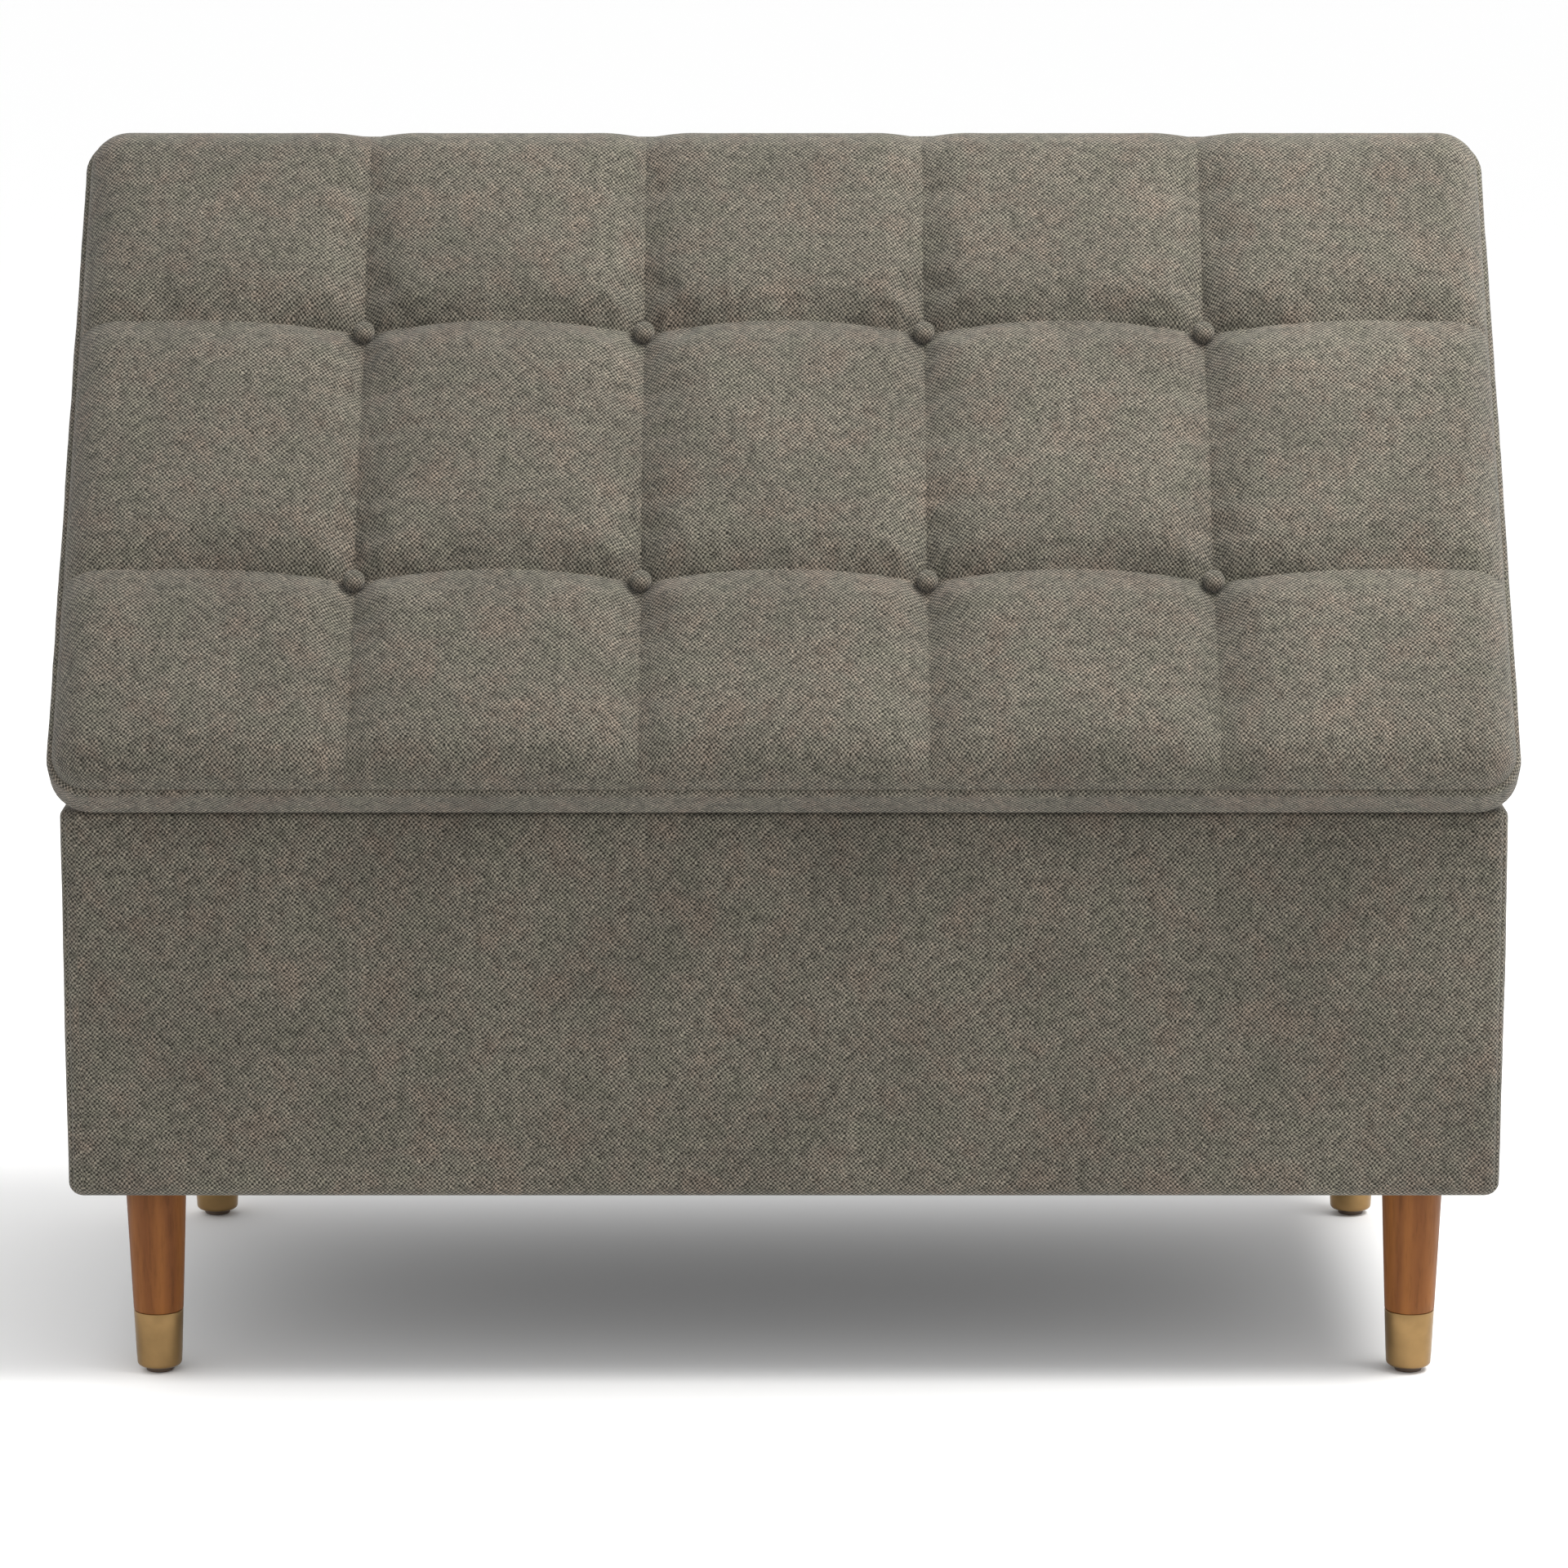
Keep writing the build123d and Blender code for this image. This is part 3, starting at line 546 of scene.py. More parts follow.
def finish(name):
    """The bench's material for one finish, made once."""
    if name in FINISHES:
        return FINISHES[name]
    sizes, colours = bpy.context.scene.bench_sizes, bpy.context.scene.bench_colours
    board_grain, leg_grain = (4.0, 60.0, 60.0), (48.0, 48.0, 5.0)
    makers = {
        "tweed": lambda: tweed_material("Tweed", colours, sizes.weave_pitch),
        "stained_wood": lambda: wood_material(
            "Stained wood", tuple(colours.wood_dark), tuple(colours.wood_light), leg_grain, 0.46, 0.04
        ),
        "panel_board": lambda: wood_material(
            "Board", (0.42, 0.28, 0.15), (0.66, 0.50, 0.31), board_grain, 0.6, 0.0
        ),
        "brass_cap": lambda: metal_material("Brass cap", tuple(colours.brass), 0.34),
        "lining_cloth": lambda: lining_material("Lining cloth", tuple(colours.lining)),
        "polyester_wadding": lambda: coated_material("Wadding", (0.80, 0.80, 0.78), 0.95, 300.0, 0.8),
        "foam": lambda: coated_material("Foam", (0.82, 0.74, 0.52), 0.95, 900.0, 0.5),
        "glide_plastic": lambda: coated_material("Glide nylon", (0.075, 0.048, 0.030), 0.5),
        "bumper_rubber": lambda: coated_material("Bumper rubber", (0.03, 0.03, 0.03), 0.7),
        "twine": lambda: coated_material("Twine", (0.62, 0.55, 0.42), 0.9, 1500.0, 0.3),
        "zinc_steel": lambda: metal_material(
            "Zinc steel", (0.33, 0.33, 0.32), 0.42, (300.0, 40.0, 300.0)
        ),
        "black_enamel": lambda: coated_material("Black enamel", (0.018, 0.018, 0.02), 0.35),
        "chromed_rod": lambda: metal_material(
            "Chromed rod", (0.72, 0.73, 0.74), 0.14, (500.0, 60.0, 60.0)
        ),
    }
    FINISHES[name] = makers[name]()
    return FINISHES[name]


# ------------------------------------------------------------------ tufted lid
def spread_evenly(first, last, count):
    """Evenly spaced values from the first to the last."""
    return [first + (last - first) * i / (count - 1) for i in range(count)]


BUTTON_RADIUS = 7.5 * MM
COLUMNS = spread_evenly(BUTTONS[0].x + BUTTON_RADIUS, BUTTONS[1].x - BUTTON_RADIUS, BUTTON_COLUMNS)
ROWS = spread_evenly(BUTTONS[0].y + BUTTON_RADIUS, BUTTONS[1].y - BUTTON_RADIUS, BUTTON_ROWS)


def stations_between(low, high, step, seams):
    """Grid stations with fine ones beside each seam."""
    reach = 4.2 * MM
    fine = [f * MM for f in (-4.2, -2.2, -0.9, 0.0, 0.9, 2.2, 4.2)]
    marks = [low] + list(seams) + [high]
    stations = [low, low + 1.2 * MM, low + 3 * MM, high - 3 * MM, high - 1.2 * MM, high]
    for seam in seams:
        stations += [seam + f for f in fine]
    for before, after in zip(marks, marks[1:]):
        start, end = before + reach, after - reach
        count = max(2, round((end - start) / step))
        stations += [start + (end - start) * i / count for i in range(count + 1)]
    stations.sort()
    kept = [stations[0]]
    for value in stations[1:]:
        if value - kept[-1] > 0.3 * MM:
            kept.append(value)
    return kept


def between_buttons(value, seams, low, high):
    """How far along a span between two buttons a point is, as 0 at a button and 1 midway."""
    marks = sorted([low - (seams[0] - low) * 0.15] + list(seams) + [high + (high - seams[-1]) * 0.15])
    for before, after in zip(marks, marks[1:]):
        if before <= value <= after:
            return max(0.0, sin(pi * (value - before) / (after - before))) ** 0.8
    return 0.0


def tufted_cover(sizes):
    """The lid's cover as a grid with its seams and buttons pulled down, and its pinned points."""
    low, high = CROWN
    middle = (low + high) / 2
    half = (high - low) / 2
    top, seam_level = high.z, low.z
    corner = COVER_CORNER
    xs = stations_between(low.x, high.x, sizes.grid_step, COLUMNS)
    ys = stations_between(low.y, high.y, sizes.grid_step, ROWS)
    mesh = bmesh.new()
    grid, pins = [], []
    for x in xs:
        column = []
        for y in ys:
            edge_x, edge_y = half.x - abs(x - middle.x), half.y - abs(y - middle.y)
            near_x = min(abs(x - c) for c in COLUMNS)
            near_y = min(abs(y - r) for r in ROWS)
            rise = 1.0
            for edge in (edge_x, edge_y):
                rise *= sqrt(max(0.0, 1 - (1 - min(1.0, edge / sizes.edge_roll)) ** 2))
            crest = seam_level + (top - 2 * MM - seam_level) * rise
            along_row = between_buttons(x, COLUMNS, low.x, high.x)
            along_column = between_buttons(y, ROWS, low.y, high.y) ** 1.9
            drop_row = sizes.button_depth + (sizes.seam_depth - sizes.button_depth) * along_row
            drop_column = sizes.button_depth + (sizes.seam_depth - sizes.button_depth) * along_column
            drop_row *= 0.35 + 0.65 * min(1.0, edge_x / (60 * MM))
            drop_column *= 0.35 + 0.65 * min(1.0, edge_y / (60 * MM))
            pull = max(
                drop_row * max(0.0, 1 - near_y / (26 * MM)) ** 1.5,
                drop_column * max(0.0, 1 - near_x / (30 * MM)) ** 1.4,
            )
            away = min(hypot(x - c, y - r) for c in COLUMNS for r in ROWS)
            well = sizes.button_depth * min(1.0, max(0.0, 1 - (away - 8.5 * MM) / (24 * MM))) ** 1.6
            pull = max(pull, well)
            level = seam_level + max(0.0, crest - pull - seam_level) if rise < 1 else crest - pull
            arch = sizes.seam_arch * along_row * exp(-((near_y / (50 * MM)) ** 2)) * rise
            a = max(0.0, (abs(x - middle.x) - (half.x - corner)) / corner)
            b = max(0.0, (abs(y - middle.y) - (half.y - corner)) / corner)
            px, py = x, y
            if a > 0 and b > 0:
                side = (1 if x > middle.x else -1, 1 if y > middle.y else -1)
                px = middle.x + side[0] * (half.x - corner + corner * a * sqrt(1 - b * b / 2))
                py = middle.y + side[1] * (half.y - corner + corner * b * sqrt(1 - a * a / 2))
            vertex = mesh.verts.new((px, py + arch, level))
            column.append(vertex)
            at_button = min(
                hypot(x - c, y - r) for c in COLUMNS for r in ROWS
            ) < 9.5 * MM
            on_edge = edge_x < 0.1 * MM or edge_y < 0.1 * MM
            on_seam = near_x < 0.1 * MM or near_y < 0.1 * MM
            if at_button or on_edge or on_seam:
                pins.append(len(grid) * len(ys) + len(column) - 1)
        grid.append(column)
    for i in range(len(xs) - 1):
        for j in range(len(ys) - 1):
            mesh.faces.new((grid[i][j], grid[i + 1][j], grid[i + 1][j + 1], grid[i][j + 1]))
    data = bpy.data.meshes.new("lid_tufting")
    mesh.to_mesh(data)
    mesh.free()
    piece = bpy.data.objects.new("lid_tufting", data)
    bpy.context.scene.collection.objects.link(piece)
    return piece, pins, len(xs), len(ys)


def puff_up(piece, pins, frames):
    """Blow the pillows up between their seams as cloth, then take the cloth off."""
    group = piece.vertex_groups.new(name="pins")
    group.add(pins, 1.0, "REPLACE")
    select_only(piece)
    cloth = piece.modifiers.new("Cloth", "CLOTH")
    settings = cloth.settings
    settings.quality = 6
    settings.mass = 0.3
    settings.tension_stiffness = 18
    settings.compression_stiffness = 18
    settings.shear_stiffness = 8
    settings.bending_stiffness = 3.0
    settings.vertex_group_mass = "pins"
    settings.shrink_min = -0.015
    settings.use_pressure = True
    settings.uniform_pressure_force = 5.5
    settings.effector_weights.gravity = 0
    cloth.collision_settings.use_collision = False
    cloth.point_cache.frame_start = 1
    cloth.point_cache.frame_end = frames
    for step in range(1, frames + 1):
        bpy.context.scene.frame_set(step)
    bpy.ops.object.modifier_apply(modifier=cloth.name)
    bpy.context.scene.frame_set(1)
    piece.vertex_groups.clear()
    deselect()


def limit_pillows(piece, rest):
    """Cap how far the pillows may move, less near the outline, and flatten their tops."""
    low, high = CROWN
    cap, margin = 14 * MM, 45 * MM
    for vertex, start in zip(piece.data.vertices, rest):
        edge = min(start.x - low.x, high.x - start.x, start.y - low.y, high.y - start.y)
        away = min(hypot(start.x - x, start.y - y) for x in COLUMNS for y in ROWS)
        free = min(1.0, max(0.0, edge / margin)) ** 1.2
        free *= min(1.0, max(0.0, (away - 9 * MM) / (26 * MM))) ** 0.8
        moved = (vertex.co - start) * free
        if moved.length > cap:
            moved *= cap / moved.length
        point = start + moved
        over = point.z - (high.z - 2 * MM)
        if over > 0:
            point.z = high.z - 2 * MM + 4 * MM * (1 - exp(-over / (6 * MM)))
        vertex.co = point


def weave_map_on_grid(piece, columns, rows):
    """Lay the weave out by the mean lengths along the cloth's rows and columns."""
    co = [vertex.co.copy() for vertex in piece.data.vertices]
    us, vs = [0.0] * columns, [0.0] * rows
    for i in range(1, columns):
        spans = [(co[i * rows + j] - co[(i - 1) * rows + j]).length for j in range(rows)]
        us[i] = us[i - 1] + sum(spans) / rows
    for j in range(1, rows):
        spans = [(co[i * rows + j] - co[i * rows + j - 1]).length for i in range(columns)]
        vs[j] = vs[j - 1] + sum(spans) / columns
    uv = piece.data.uv_layers.new(name="Weave")
    for loop in piece.data.loops:
        uv.data[loop.index].uv = (us[loop.vertex_index // rows], vs[loop.vertex_index % rows])


class BENCH_OT_lid_cover(bpy.types.Operator):
    """Build the tufted cover of the lid by cloth simulation"""

    bl_idname = "bench.lid_cover"
    bl_label = "Tufted lid cover"

    def execute(self, context):
        sizes = context.scene.bench_sizes
        piece, pins, columns, rows = tufted_cover(sizes)
        rest = [vertex.co.copy() for vertex in piece.data.vertices]
        puff_up(piece, pins, sizes.frames)
        limit_pillows(piece, rest)
        weave_map_on_grid(piece, columns, rows)
        apply_modifier(piece, "SUBSURF", levels=1, render_levels=1)
        select_only(piece)
        bpy.ops.object.mode_set(mode="EDIT")
        bpy.ops.mesh.select_all(action="SELECT")
        bpy.ops.mesh.region_to_loop()
        drop = BOARD[1].z - CROWN[0].z
        bpy.ops.mesh.extrude_region_move(TRANSFORM_OT_translate={"value": (0, 0, drop)})
        bpy.ops.mesh.edge_face_add()
        bpy.ops.mesh.select_all(action="SELECT")
        bpy.ops.mesh.normals_make_consistent(inside=False)
        bpy.ops.object.mode_set(mode="OBJECT")
        place(piece, LID)
        smooth(piece, 75)
        finish_piece(piece, "lid", "tweed", finish("tweed"), "lid_top_cover", "lid_pad")
        return {"FINISHED"}


class BENCH_OT_lid_band(bpy.types.Operator):
    """Build the boxed band round the lid, turned under its board"""

    bl_idname = "bench.lid_band"
    bl_label = "Lid band"

    def execute(self, context):
        low, high = BAND
        middle, half = (low + high) / 2, (high - low) / 2
        under = low.z + 0.2 * MM
        tuck = lid_box("lid_lining")[0].x - low.x
        roll = 5 * MM
        profile = [(8 * MM, high.z - 3 * MM), (6.4 * MM, high.z - 0.8 * MM)]
        profile += arc((roll, high.z - roll), roll, 95, 180, 6)
        steps = 5
        flat = high.z - under - 2 * roll
        profile += [(0.0, high.z - roll - flat * i / steps) for i in range(1, steps)]
        profile += arc((roll, under + roll), roll, 180, 270, 6)
        profile += [(roll + (tuck - roll) * i / 4, under) for i in range(1, 5)]
        down = 26 * MM

        def swell(travelled, fallen, from_seam, point):
            wave = noise.noise(Vector((travelled * 22, fallen * 30, 7.7)))
            pucker = noise.noise(Vector((travelled * 90, 0, 2.2)))
            belly = max(0.0, sin(pi * min(1.0, fallen / down)))
            return (0.5 * wave + 0.25 * pucker) * MM * belly

        piece = soft_ring("lid_band_cover", half.x, half.y, BAND_CORNER, profile, swell, 6 * MM, False)
        place(piece, LID @ Matrix.Translation((middle.x, middle.y, 0)))
        apply_modifier(piece, "SOLIDIFY", thickness=1.2 * MM, offset=-1)
        smooth(piece, 60)
        finish_piece(piece, "lid", "tweed", finish("tweed"), "lid_band", "lid_edge_wadding")
        return {"FINISHED"}


class BENCH_OT_buttons(bpy.types.Operator):
    """Build the covered buttons: one turned dome, copied to each tuft"""

    bl_idname = "bench.buttons"
    bl_label = "Covered buttons"

    def execute(self, context):
        base = BUTTONS[0].z - 2.5 * MM
        radius, height = BUTTON_RADIUS, BUTTONS[1].z - base + 4 * MM
        rim = height - 5.5 * MM
        dome = [(radius * 0.8, 0.0), (radius * 0.94, 1.0 * MM), (radius, rim)]
        dome += [(radius * cos(a), rim + (height - rim) * sin(a))
                 for a in (radians(12 * i) for i in range(1, 8))]
        model = turned("button_model", [(0.0, 0.0)] + dome + [(0.0, height)], 48)
        uv = model.data.uv_layers.new(name="Weave")
        for loop in model.data.loops:
            x, y, z = model.data.vertices[loop.vertex_index].co
            reach = hypot(x, y)
            spread = 1 + (height - z) / max(reach, MM) * 0.6
            uv.data[loop.index].uv = (x * spread, y * spread)
        copies = []
        for x in COLUMNS:
            for y in ROWS:
                spot = LID @ Matrix.Translation((x, y, base))
                copies.append(copy_piece(model, "button", spot))
        bpy.data.objects.remove(model)
        piece = join(copies, "covered_buttons")
        smooth(piece, 60)
        finish_piece(piece, "lid", "tweed", finish("tweed"), "tuft_buttons")
        return {"FINISHED"}


# ------------------------------------------------------------------ box
class BENCH_OT_box_cover(bpy.types.Operator):
    """Build the box's cover: four panels sewn down the corners over their wadding"""

    bl_idname = "bench.box_cover"
    bl_label = "Box cover"

    def execute(self, context):
        sizes = context.scene.bench_sizes
        low, high = BOX
        half = (high - low) / 2
        fold = half.x - WELL[1].x
        rim, foot = 6 * MM, 10 * MM
        tall = high.z - low.z
        profile = [(fold - i * (fold - rim) / 3, high.z) for i in range(3)]
        profile += arc((rim, high.z - rim), rim, 90, 180, 5)
        steps = 16
        straight = tall - rim - foot
        profile += [(0.0, high.z - rim - straight * i / steps) for i in range(1, steps)]
        profile += arc((foot, low.z + foot), foot, 180, 270, 7)
        profile += [(foot + (fold - foot) * i / 2, low.z) for i in (1, 2)]
        start = fold - rim + rim * pi / 2
        corner = sizes.box_corner

        def swell(travelled, fallen, from_seam, point):
            drop = (fallen - start) / straight
            belly = max(0.0, 1 - (2 * drop - 1) ** 2) if 0 < drop < 1 else 0.0
            across = abs(point.x) / half.x if abs(abs(point.y) - half.y) < MM else abs(point.y) / half.y
            face = max(0.0, 1 - across**6)
            spot = Vector((point.x * 7, point.y * 7, fallen * 9))
            wave = noise.noise(spot) + 0.4 * noise.noise(spot * 3.1)
            shift = sizes.box_swell * belly * face + 0.8 * MM * wave * min(1.0, 4 * belly)
            if from_seam is not None and -0.05 < drop < 1.04:
                shift -= 1.1 * MM * exp(-((from_seam / (1.1 * MM)) ** 2))
            return shift

        piece = soft_ring("box_cover", half.x, half.y, corner, profile, swell, 14 * MM)
        apply_modifier(piece, "SOLIDIFY", thickness=1.2 * MM, offset=-1)
        smooth(piece, 50)
        nodes = [f"base_cover_{side}" for side in ("back", "front", "left", "right")]
        finish_piece(piece, "box", "tweed", finish("tweed"), "base_wadding", *nodes)
        return {"FINISHED"}


def staple_row(name, places, body):
    """Flat wire staples at the matrices given, modelled once and copied."""
    deselect()
    bpy.ops.mesh.primitive_cube_add(size=1)
    model = bpy.context.active_object
    model.scale = (10 * MM, 1.1 * MM, 0.6 * MM)
    bpy.ops.object.transform_apply(scale=True)
    bpy.ops.object.mode_set(mode="EDIT")
    bpy.ops.mesh.select_all(action="SELECT")
    bpy.ops.mesh.bevel(offset=0.2 * MM, segments=2)
    bpy.ops.object.mode_set(mode="OBJECT")
    copies = [copy_piece(model, "staple", spot) for spot in places]
    bpy.data.objects.remove(model)
    piece = join(copies, name)
    smooth(piece, 40)
    return finish_piece(piece, body, "zinc_steel", finish("zinc_steel"))


def edge_places(low, high, level, inset, pitch, matrix):
    """Matrices for staples spaced evenly round a rectangle, inset from its edges."""
    places = []
    for axis in (0, 1):
        across = 1 - axis
        run = high[axis] - low[axis] - 2 * inset
        count = max(2, round(run / pitch))
        for side in (low[across] + inset, high[across] - inset):
            for i in range(count):
                at = low[axis] + inset + run * (i + 0.5) / count
                spot = (at, side, level) if axis == 0 else (side, at, level)
                turn = Matrix.Rotation(pi / 2 * axis + radians(4) * sin(7.3 * i + side * 40), 4, "Z")
                places.append(matrix @ Matrix.Translation(spot) @ turn)
    return places


class BENCH_OT_linings(bpy.types.Operator):
    """Build the black lining of the well and the lid, and the dust cover under the box"""

    bl_idname = "bench.linings"
    bl_label = "Linings"

    def execute(self, context):
        cloth = finish("lining_cloth")
        low, high = LID_LINING
        lap = 2.5 * MM
        lid_low, lid_high = (low.x - lap, low.y - lap), (high.x + lap, high.y + lap)
        level = BAND[0].z - 0.7 * MM
        sheet = cloth_sheet("lid_lining_cloth", lid_low, lid_high, level, 12 * MM, 0.25 * MM, 9.0, False)
        place(sheet, LID)
        apply_modifier(sheet, "SOLIDIFY", thickness=0.6 * MM, offset=-1)
        smooth(sheet, 60)
        finish_piece(sheet, "lid", "lining_cloth", cloth, "lid_lining")
        spots = edge_places(lid_low, lid_high, level - 0.9 * MM, 6 * MM, 48 * MM, LID)
        staple_row("lid_staples", spots, "lid")

        floor_low, floor_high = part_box("floor_lining")
        sheet = cloth_sheet(
            "floor_lining_cloth", floor_low, floor_high, floor_high.z - 0.6 * MM, 14 * MM, 1.0 * MM, 7.0
        )
        apply_modifier(sheet, "SOLIDIFY", thickness=0.8 * MM, offset=-1)
        smooth(sheet, 60)
        finish_piece(sheet, "box", "lining_cloth", cloth, "floor_lining")

        well_low, well_high = WELL
        half = (well_high - well_low) / 2
        tall = well_high.z - well_low.z
        profile = [(0.4 * MM, well_high.z)]
        profile += [(0.8 * MM, well_high.z - tall * i / 14) for i in range(1, 15)]

        def hang(travelled, fallen, from_seam, point):
            sway = 0.5 + 0.5 * noise.noise(Vector((travelled * 9, fallen * 4, 5.0)))
            return -0.9 * MM * sway * sin(pi * min(1.0, fallen / tall))

        ring = soft_ring("wall_lining_cloth", half.x, half.y, 3 * MM, profile, hang, 14 * MM, False)
        ring.data.flip_normals()
        apply_modifier(ring, "SOLIDIFY", thickness=0.5 * MM, offset=-1)
        smooth(ring, 60)
        finish_piece(ring, "box", "lining_cloth", cloth, "wall_lining")

        dust_low, dust_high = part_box("dust_cover")
        lap = 7 * MM
        under_low = (dust_low.x - lap, dust_low.y - lap)
        under_high = (dust_high.x + lap, dust_high.y + lap)
        under = dust_low.z - 0.1 * MM
        sheet = cloth_sheet("dust_cloth", under_low, under_high, under, 16 * MM, 0.1 * MM, 8.0, False)
        apply_modifier(sheet, "SOLIDIFY", thickness=0.5 * MM, offset=-1)
        smooth(sheet, 60)
        finish_piece(sheet, "box", "lining_cloth", cloth, "dust_cover")
        spots = edge_places(
            under_low, under_high, under - 0.7 * MM, 5 * MM, 60 * MM, Matrix.Identity(4)
        )
        staple_row("dust_cloth_staples", spots, "box")
        return {"FINISHED"}


# ------------------------------------------------------------------ legs
def leg_names():
    """The four places of the legs as the words that end their nodes' names."""
    return [f"{end}_{side}" for end in ("back", "front") for side in ("left", "right")]


class BENCH_OT_legs(bpy.types.Operator):
    """Build the four turned legs, their brass caps and nylon glides"""

    bl_idname = "bench.legs"
    bl_label = "Legs and caps"

    def execute(self, context):
        leg_low, leg_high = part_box("leg_back_left")
        cap_low, cap_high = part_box("ferrule_back_left")
        glide_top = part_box("glides")[1].z
        top = (leg_high.x - leg_low.x) / 2
        cap = (cap_high.x - cap_low.x) / 2
        foot = top - (top - cap) * leg_high.z / (leg_high.z - cap_high.z)

        def radius(height):
            return foot + (top - foot) * height / leg_high.z

        shoulder = cap_high.z + 0.6 * MM
        wood = [(0.0, leg_low.z), (radius(leg_low.z) - 1.6 * MM, leg_low.z)]
        wood += [(radius(cap_high.z) - 1.4 * MM, cap_high.z - 0.4 * MM)]
        wood += [(radius(shoulder) - 0.5 * MM, shoulder - 0.3 * MM)]
        wood += [(radius(shoulder), shoulder + 0.4 * MM)]
        steps = 8
        taper = leg_high.z - 1.2 * MM - shoulder
        levels = [shoulder + taper * i / steps for i in range(1, steps + 1)]
        wood += [(radius(z), z) for z in levels]
        wood += [(top - 0.3 * MM, leg_high.z - 0.3 * MM)]
        wood += [(top - 1.2 * MM, leg_high.z), (0.0, leg_high.z)]
        leg_model = turned("leg_model", wood)
        roll = 3.2 * MM
        lip = 1.1 * MM
        shell = [(0.0, cap_low.z), (radius(cap_low.z) - roll, cap_low.z)]
        shell += [
            (radius(cap_low.z) - roll + roll * sin(a), cap_low.z + roll - roll * cos(a))
            for a in (radians(15 * i) for i in range(1, 7))
        ]
        levels = [cap_low.z + 12 * MM, cap_low.z + 26 * MM, cap_high.z - 0.6 * MM]
        shell += [(radius(z), z) for z in levels]
        shell += [(radius(cap_high.z) - 0.2 * MM, cap_high.z - 0.15 * MM)]
        shell += [(radius(cap_high.z) - 0.5 * MM, cap_high.z), (radius(cap_high.z) - lip, cap_high.z)]
        shell += [(radius(cap_high.z) - lip, cap_high.z - 4 * MM), (0.0, cap_high.z - 4 * MM)]
        cap_model = turned("cap_model", shell)
        disc = 9.8 * MM
        glide = [(0.0, 0.0), (disc - 1.4 * MM, 0.0), (disc - 0.4 * MM, 0.4 * MM), (disc, 1.4 * MM)]
        glide += [(disc, glide_top - 0.4 * MM), (disc - 0.4 * MM, glide_top), (0.0, glide_top)]
        glide_model = turned("glide_model", glide, 40)
        glides = []
        for name in leg_names():
            low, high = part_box(f"leg_{name}")
            spot = Matrix.Translation(((low.x + high.x) / 2, (low.y + high.y) / 2, 0))
            turn = spot @ Matrix.Rotation(radians(37 * len(glides)), 4, "Z")
            leg = copy_piece(leg_model, f"turned_leg_{name}", turn)
            smooth(leg, 35)
            finish_piece(leg, "box", "stained_wood", finish("stained_wood"), f"leg_{name}")
            brass = copy_piece(cap_model, f"brass_cap_{name}", spot)
            smooth(brass, 35)
            finish_piece(brass, "box", "brass_cap", finish("brass_cap"), f"ferrule_{name}")
            glides.append(copy_piece(glide_model, "glide", spot))
        for model in (leg_model, cap_model, glide_model):
            bpy.data.objects.remove(model)
        feet = join(glides, "nylon_glides")
        smooth(feet, 35)
        finish_piece(feet, "box", "glide_plastic", finish("glide_plastic"), "glides")
        return {"FINISHED"}


class BENCH_OT_fittings(bpy.types.Operator):
    """Give the boards, hinges, struts and fasteners of the frame their finishes"""

    bl_idname = "bench.fittings"
    bl_label = "Boards and fittings"

    def execute(self, context):
        slots = {entry["node"]: entry["material_slot"] for entry in frame["record"]["subparts"]}
        for node, piece in frame["nodes"].items():
            material = finish(slots[node])
            piece.data.materials.clear()
            piece.data.materials.append(material)
        return {"FINISHED"}


# ------------------------------------------------------------------ stage
def soft_light(name, spot, aim, size, energy, tint):
    """A square area light that looks at a point."""
    data = bpy.data.lights.new(name, "AREA")
    data.size = size
    data.energy = energy
    data.color = tint
    lamp = bpy.data.objects.new(name, data)
    bpy.context.scene.collection.objects.link(lamp)
    lamp.location = spot
    lamp.rotation_euler = (Vector(aim) - Vector(spot)).to_track_quat("-Z", "Y").to_euler()


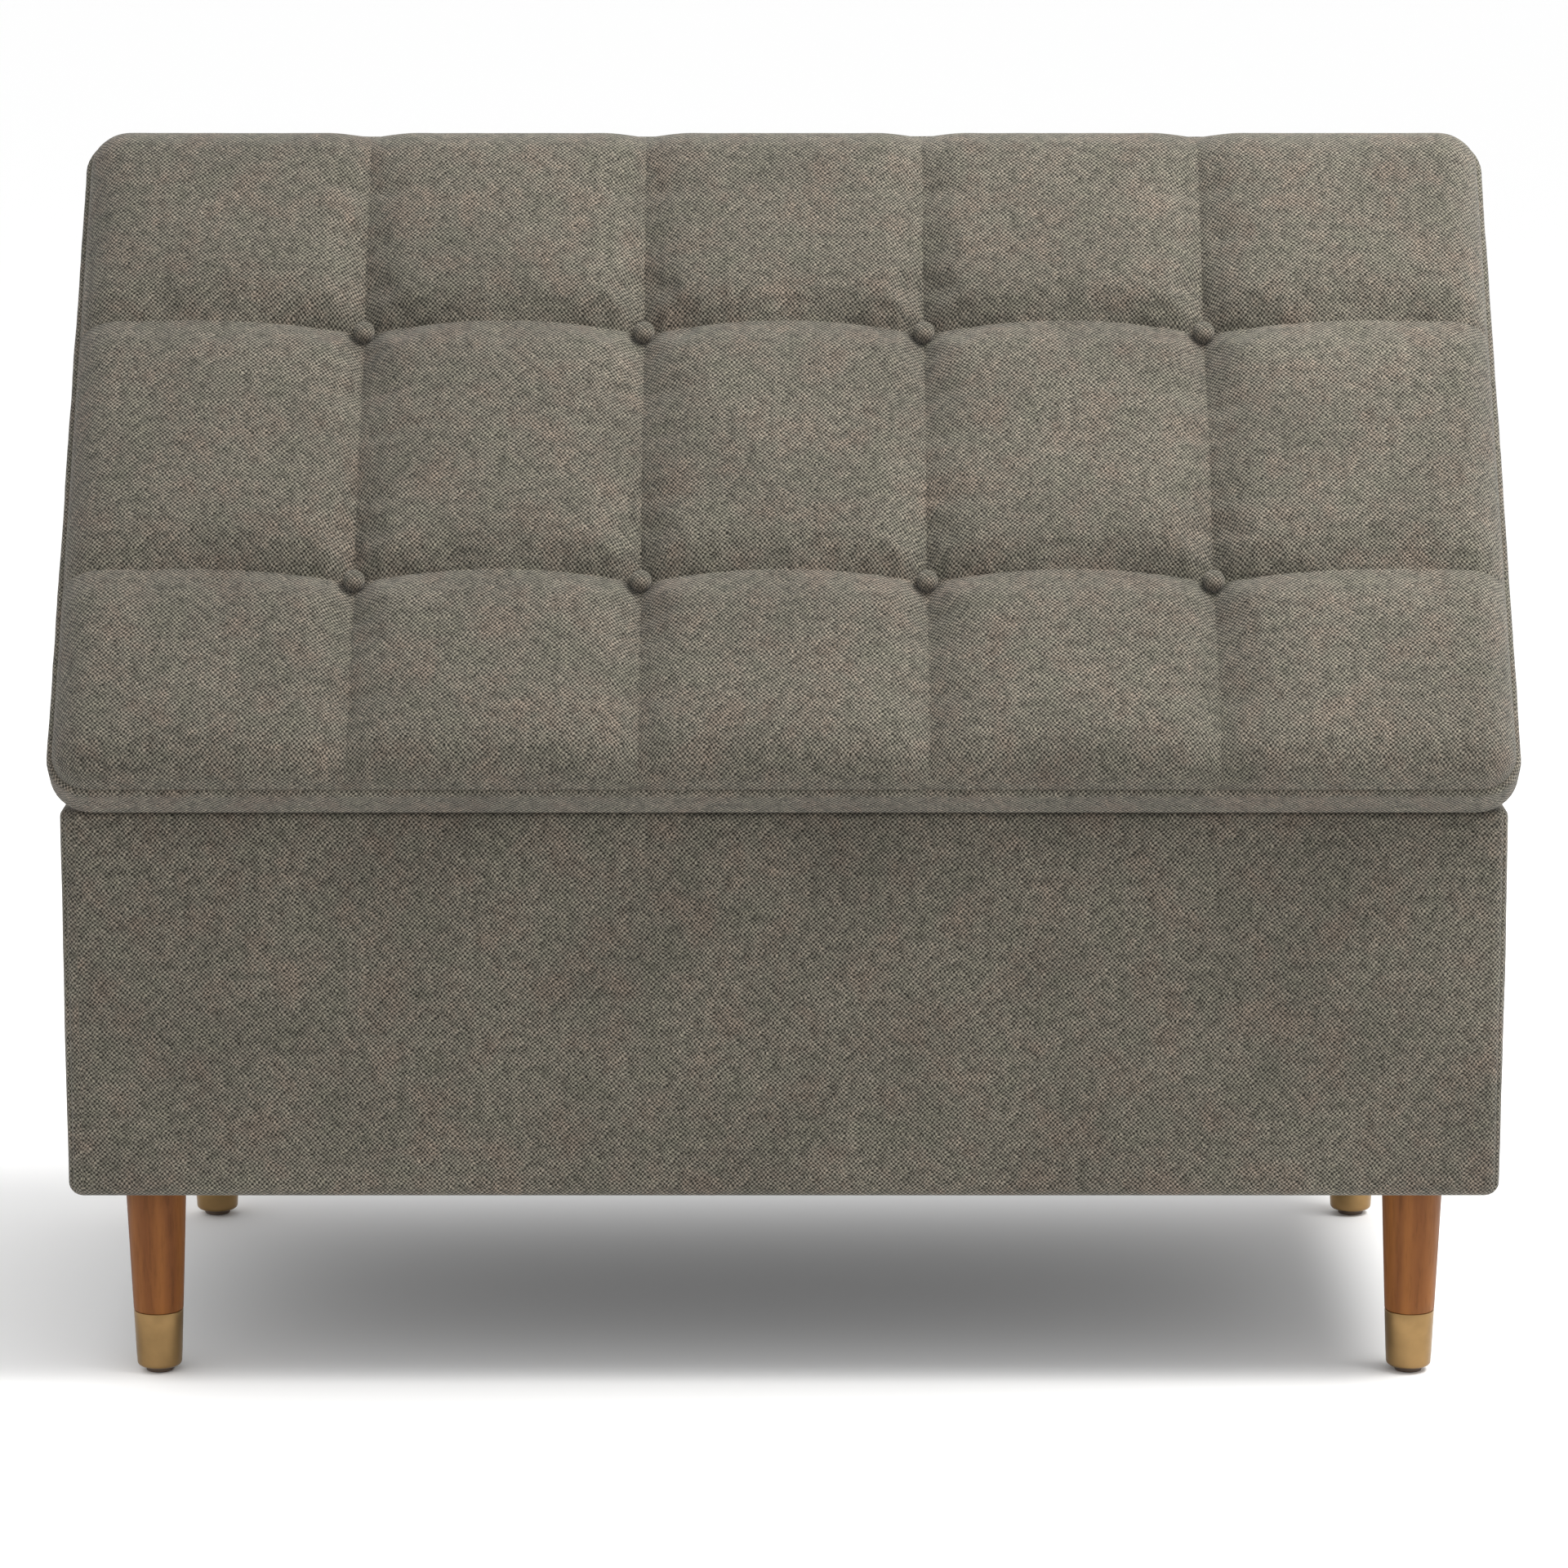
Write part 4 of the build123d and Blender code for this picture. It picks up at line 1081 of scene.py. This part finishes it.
class BENCH_OT_stage(bpy.types.Operator):
    """Lay the pale floor and set the studio light and the camera"""

    bl_idname = "bench.stage"
    bl_label = "Stage"

    def execute(self, context):
        scene = context.scene
        deselect()
        bpy.ops.mesh.primitive_plane_add(size=80)
        floor = context.active_object
        floor.name = "floor"
        material, shader = new_material("Pale floor")[:2]
        shader.inputs["Base Color"].default_value = (0.96, 0.96, 0.96, 1)
        shader.inputs["Roughness"].default_value = 0.9
        floor.data.materials.append(material)
        world = bpy.data.worlds.new("Studio")
        world.use_nodes = True
        sky = world.node_tree.nodes["Background"]
        sky.inputs["Color"].default_value = (1.0, 1.0, 1.0, 1)
        sky.inputs["Strength"].default_value = 1.03
        scene.world = world
        soft_light("key", (1.3, -0.5, 2.5), (0, 0, 0.5), 1.4, 84, (1.0, 0.99, 0.97))
        scene.view_settings.view_transform = "Standard"
        data = bpy.data.cameras.new("Camera")
        data.lens = 131.25
        data.sensor_width = 36
        data.clip_end = 200
        camera = bpy.data.objects.new("Camera", data)
        scene.collection.objects.link(camera)
        camera.location = (0.0, -4.125, 1.185)
        camera.rotation_euler = (radians(90 - 11.0), 0, 0)
        scene.camera = camera
        return {"FINISHED"}


class BENCH_PT_panel(bpy.types.Panel):
    """The bench's pieces and sizes in the sidebar"""

    bl_idname = "BENCH_PT_panel"
    bl_label = "Storage bench"
    bl_space_type = "VIEW_3D"
    bl_region_type = "UI"
    bl_category = "Bench"

    def draw(self, context):
        column = self.layout.column()
        for group in (context.scene.bench_sizes, context.scene.bench_colours):
            for name in group.__annotations__:
                column.prop(group, name)
        for operator in OPERATORS:
            column.operator(operator.bl_idname)


OPERATORS = (
    BENCH_OT_fittings,
    BENCH_OT_lid_cover,
    BENCH_OT_lid_band,
    BENCH_OT_buttons,
    BENCH_OT_box_cover,
    BENCH_OT_linings,
    BENCH_OT_legs,
    BENCH_OT_stage,
)
CLASSES = (BenchSizes, BenchColours, *OPERATORS, BENCH_PT_panel)


def register():
    """Add the bench's classes and settings to Blender."""
    for entry in CLASSES:
        bpy.utils.register_class(entry)
    bpy.types.Scene.bench_sizes = PointerProperty(type=BenchSizes)
    bpy.types.Scene.bench_colours = PointerProperty(type=BenchColours)


def unregister():
    """Take the bench's classes and settings out of Blender."""
    del bpy.types.Scene.bench_sizes
    del bpy.types.Scene.bench_colours
    for entry in reversed(CLASSES):
        bpy.utils.unregister_class(entry)


def main():
    """Build the whole bench."""
    register()
    for operator in OPERATORS:
        family, name = operator.bl_idname.split(".")
        getattr(getattr(bpy.ops, family), name)()


if __name__ == "__main__":
    main()
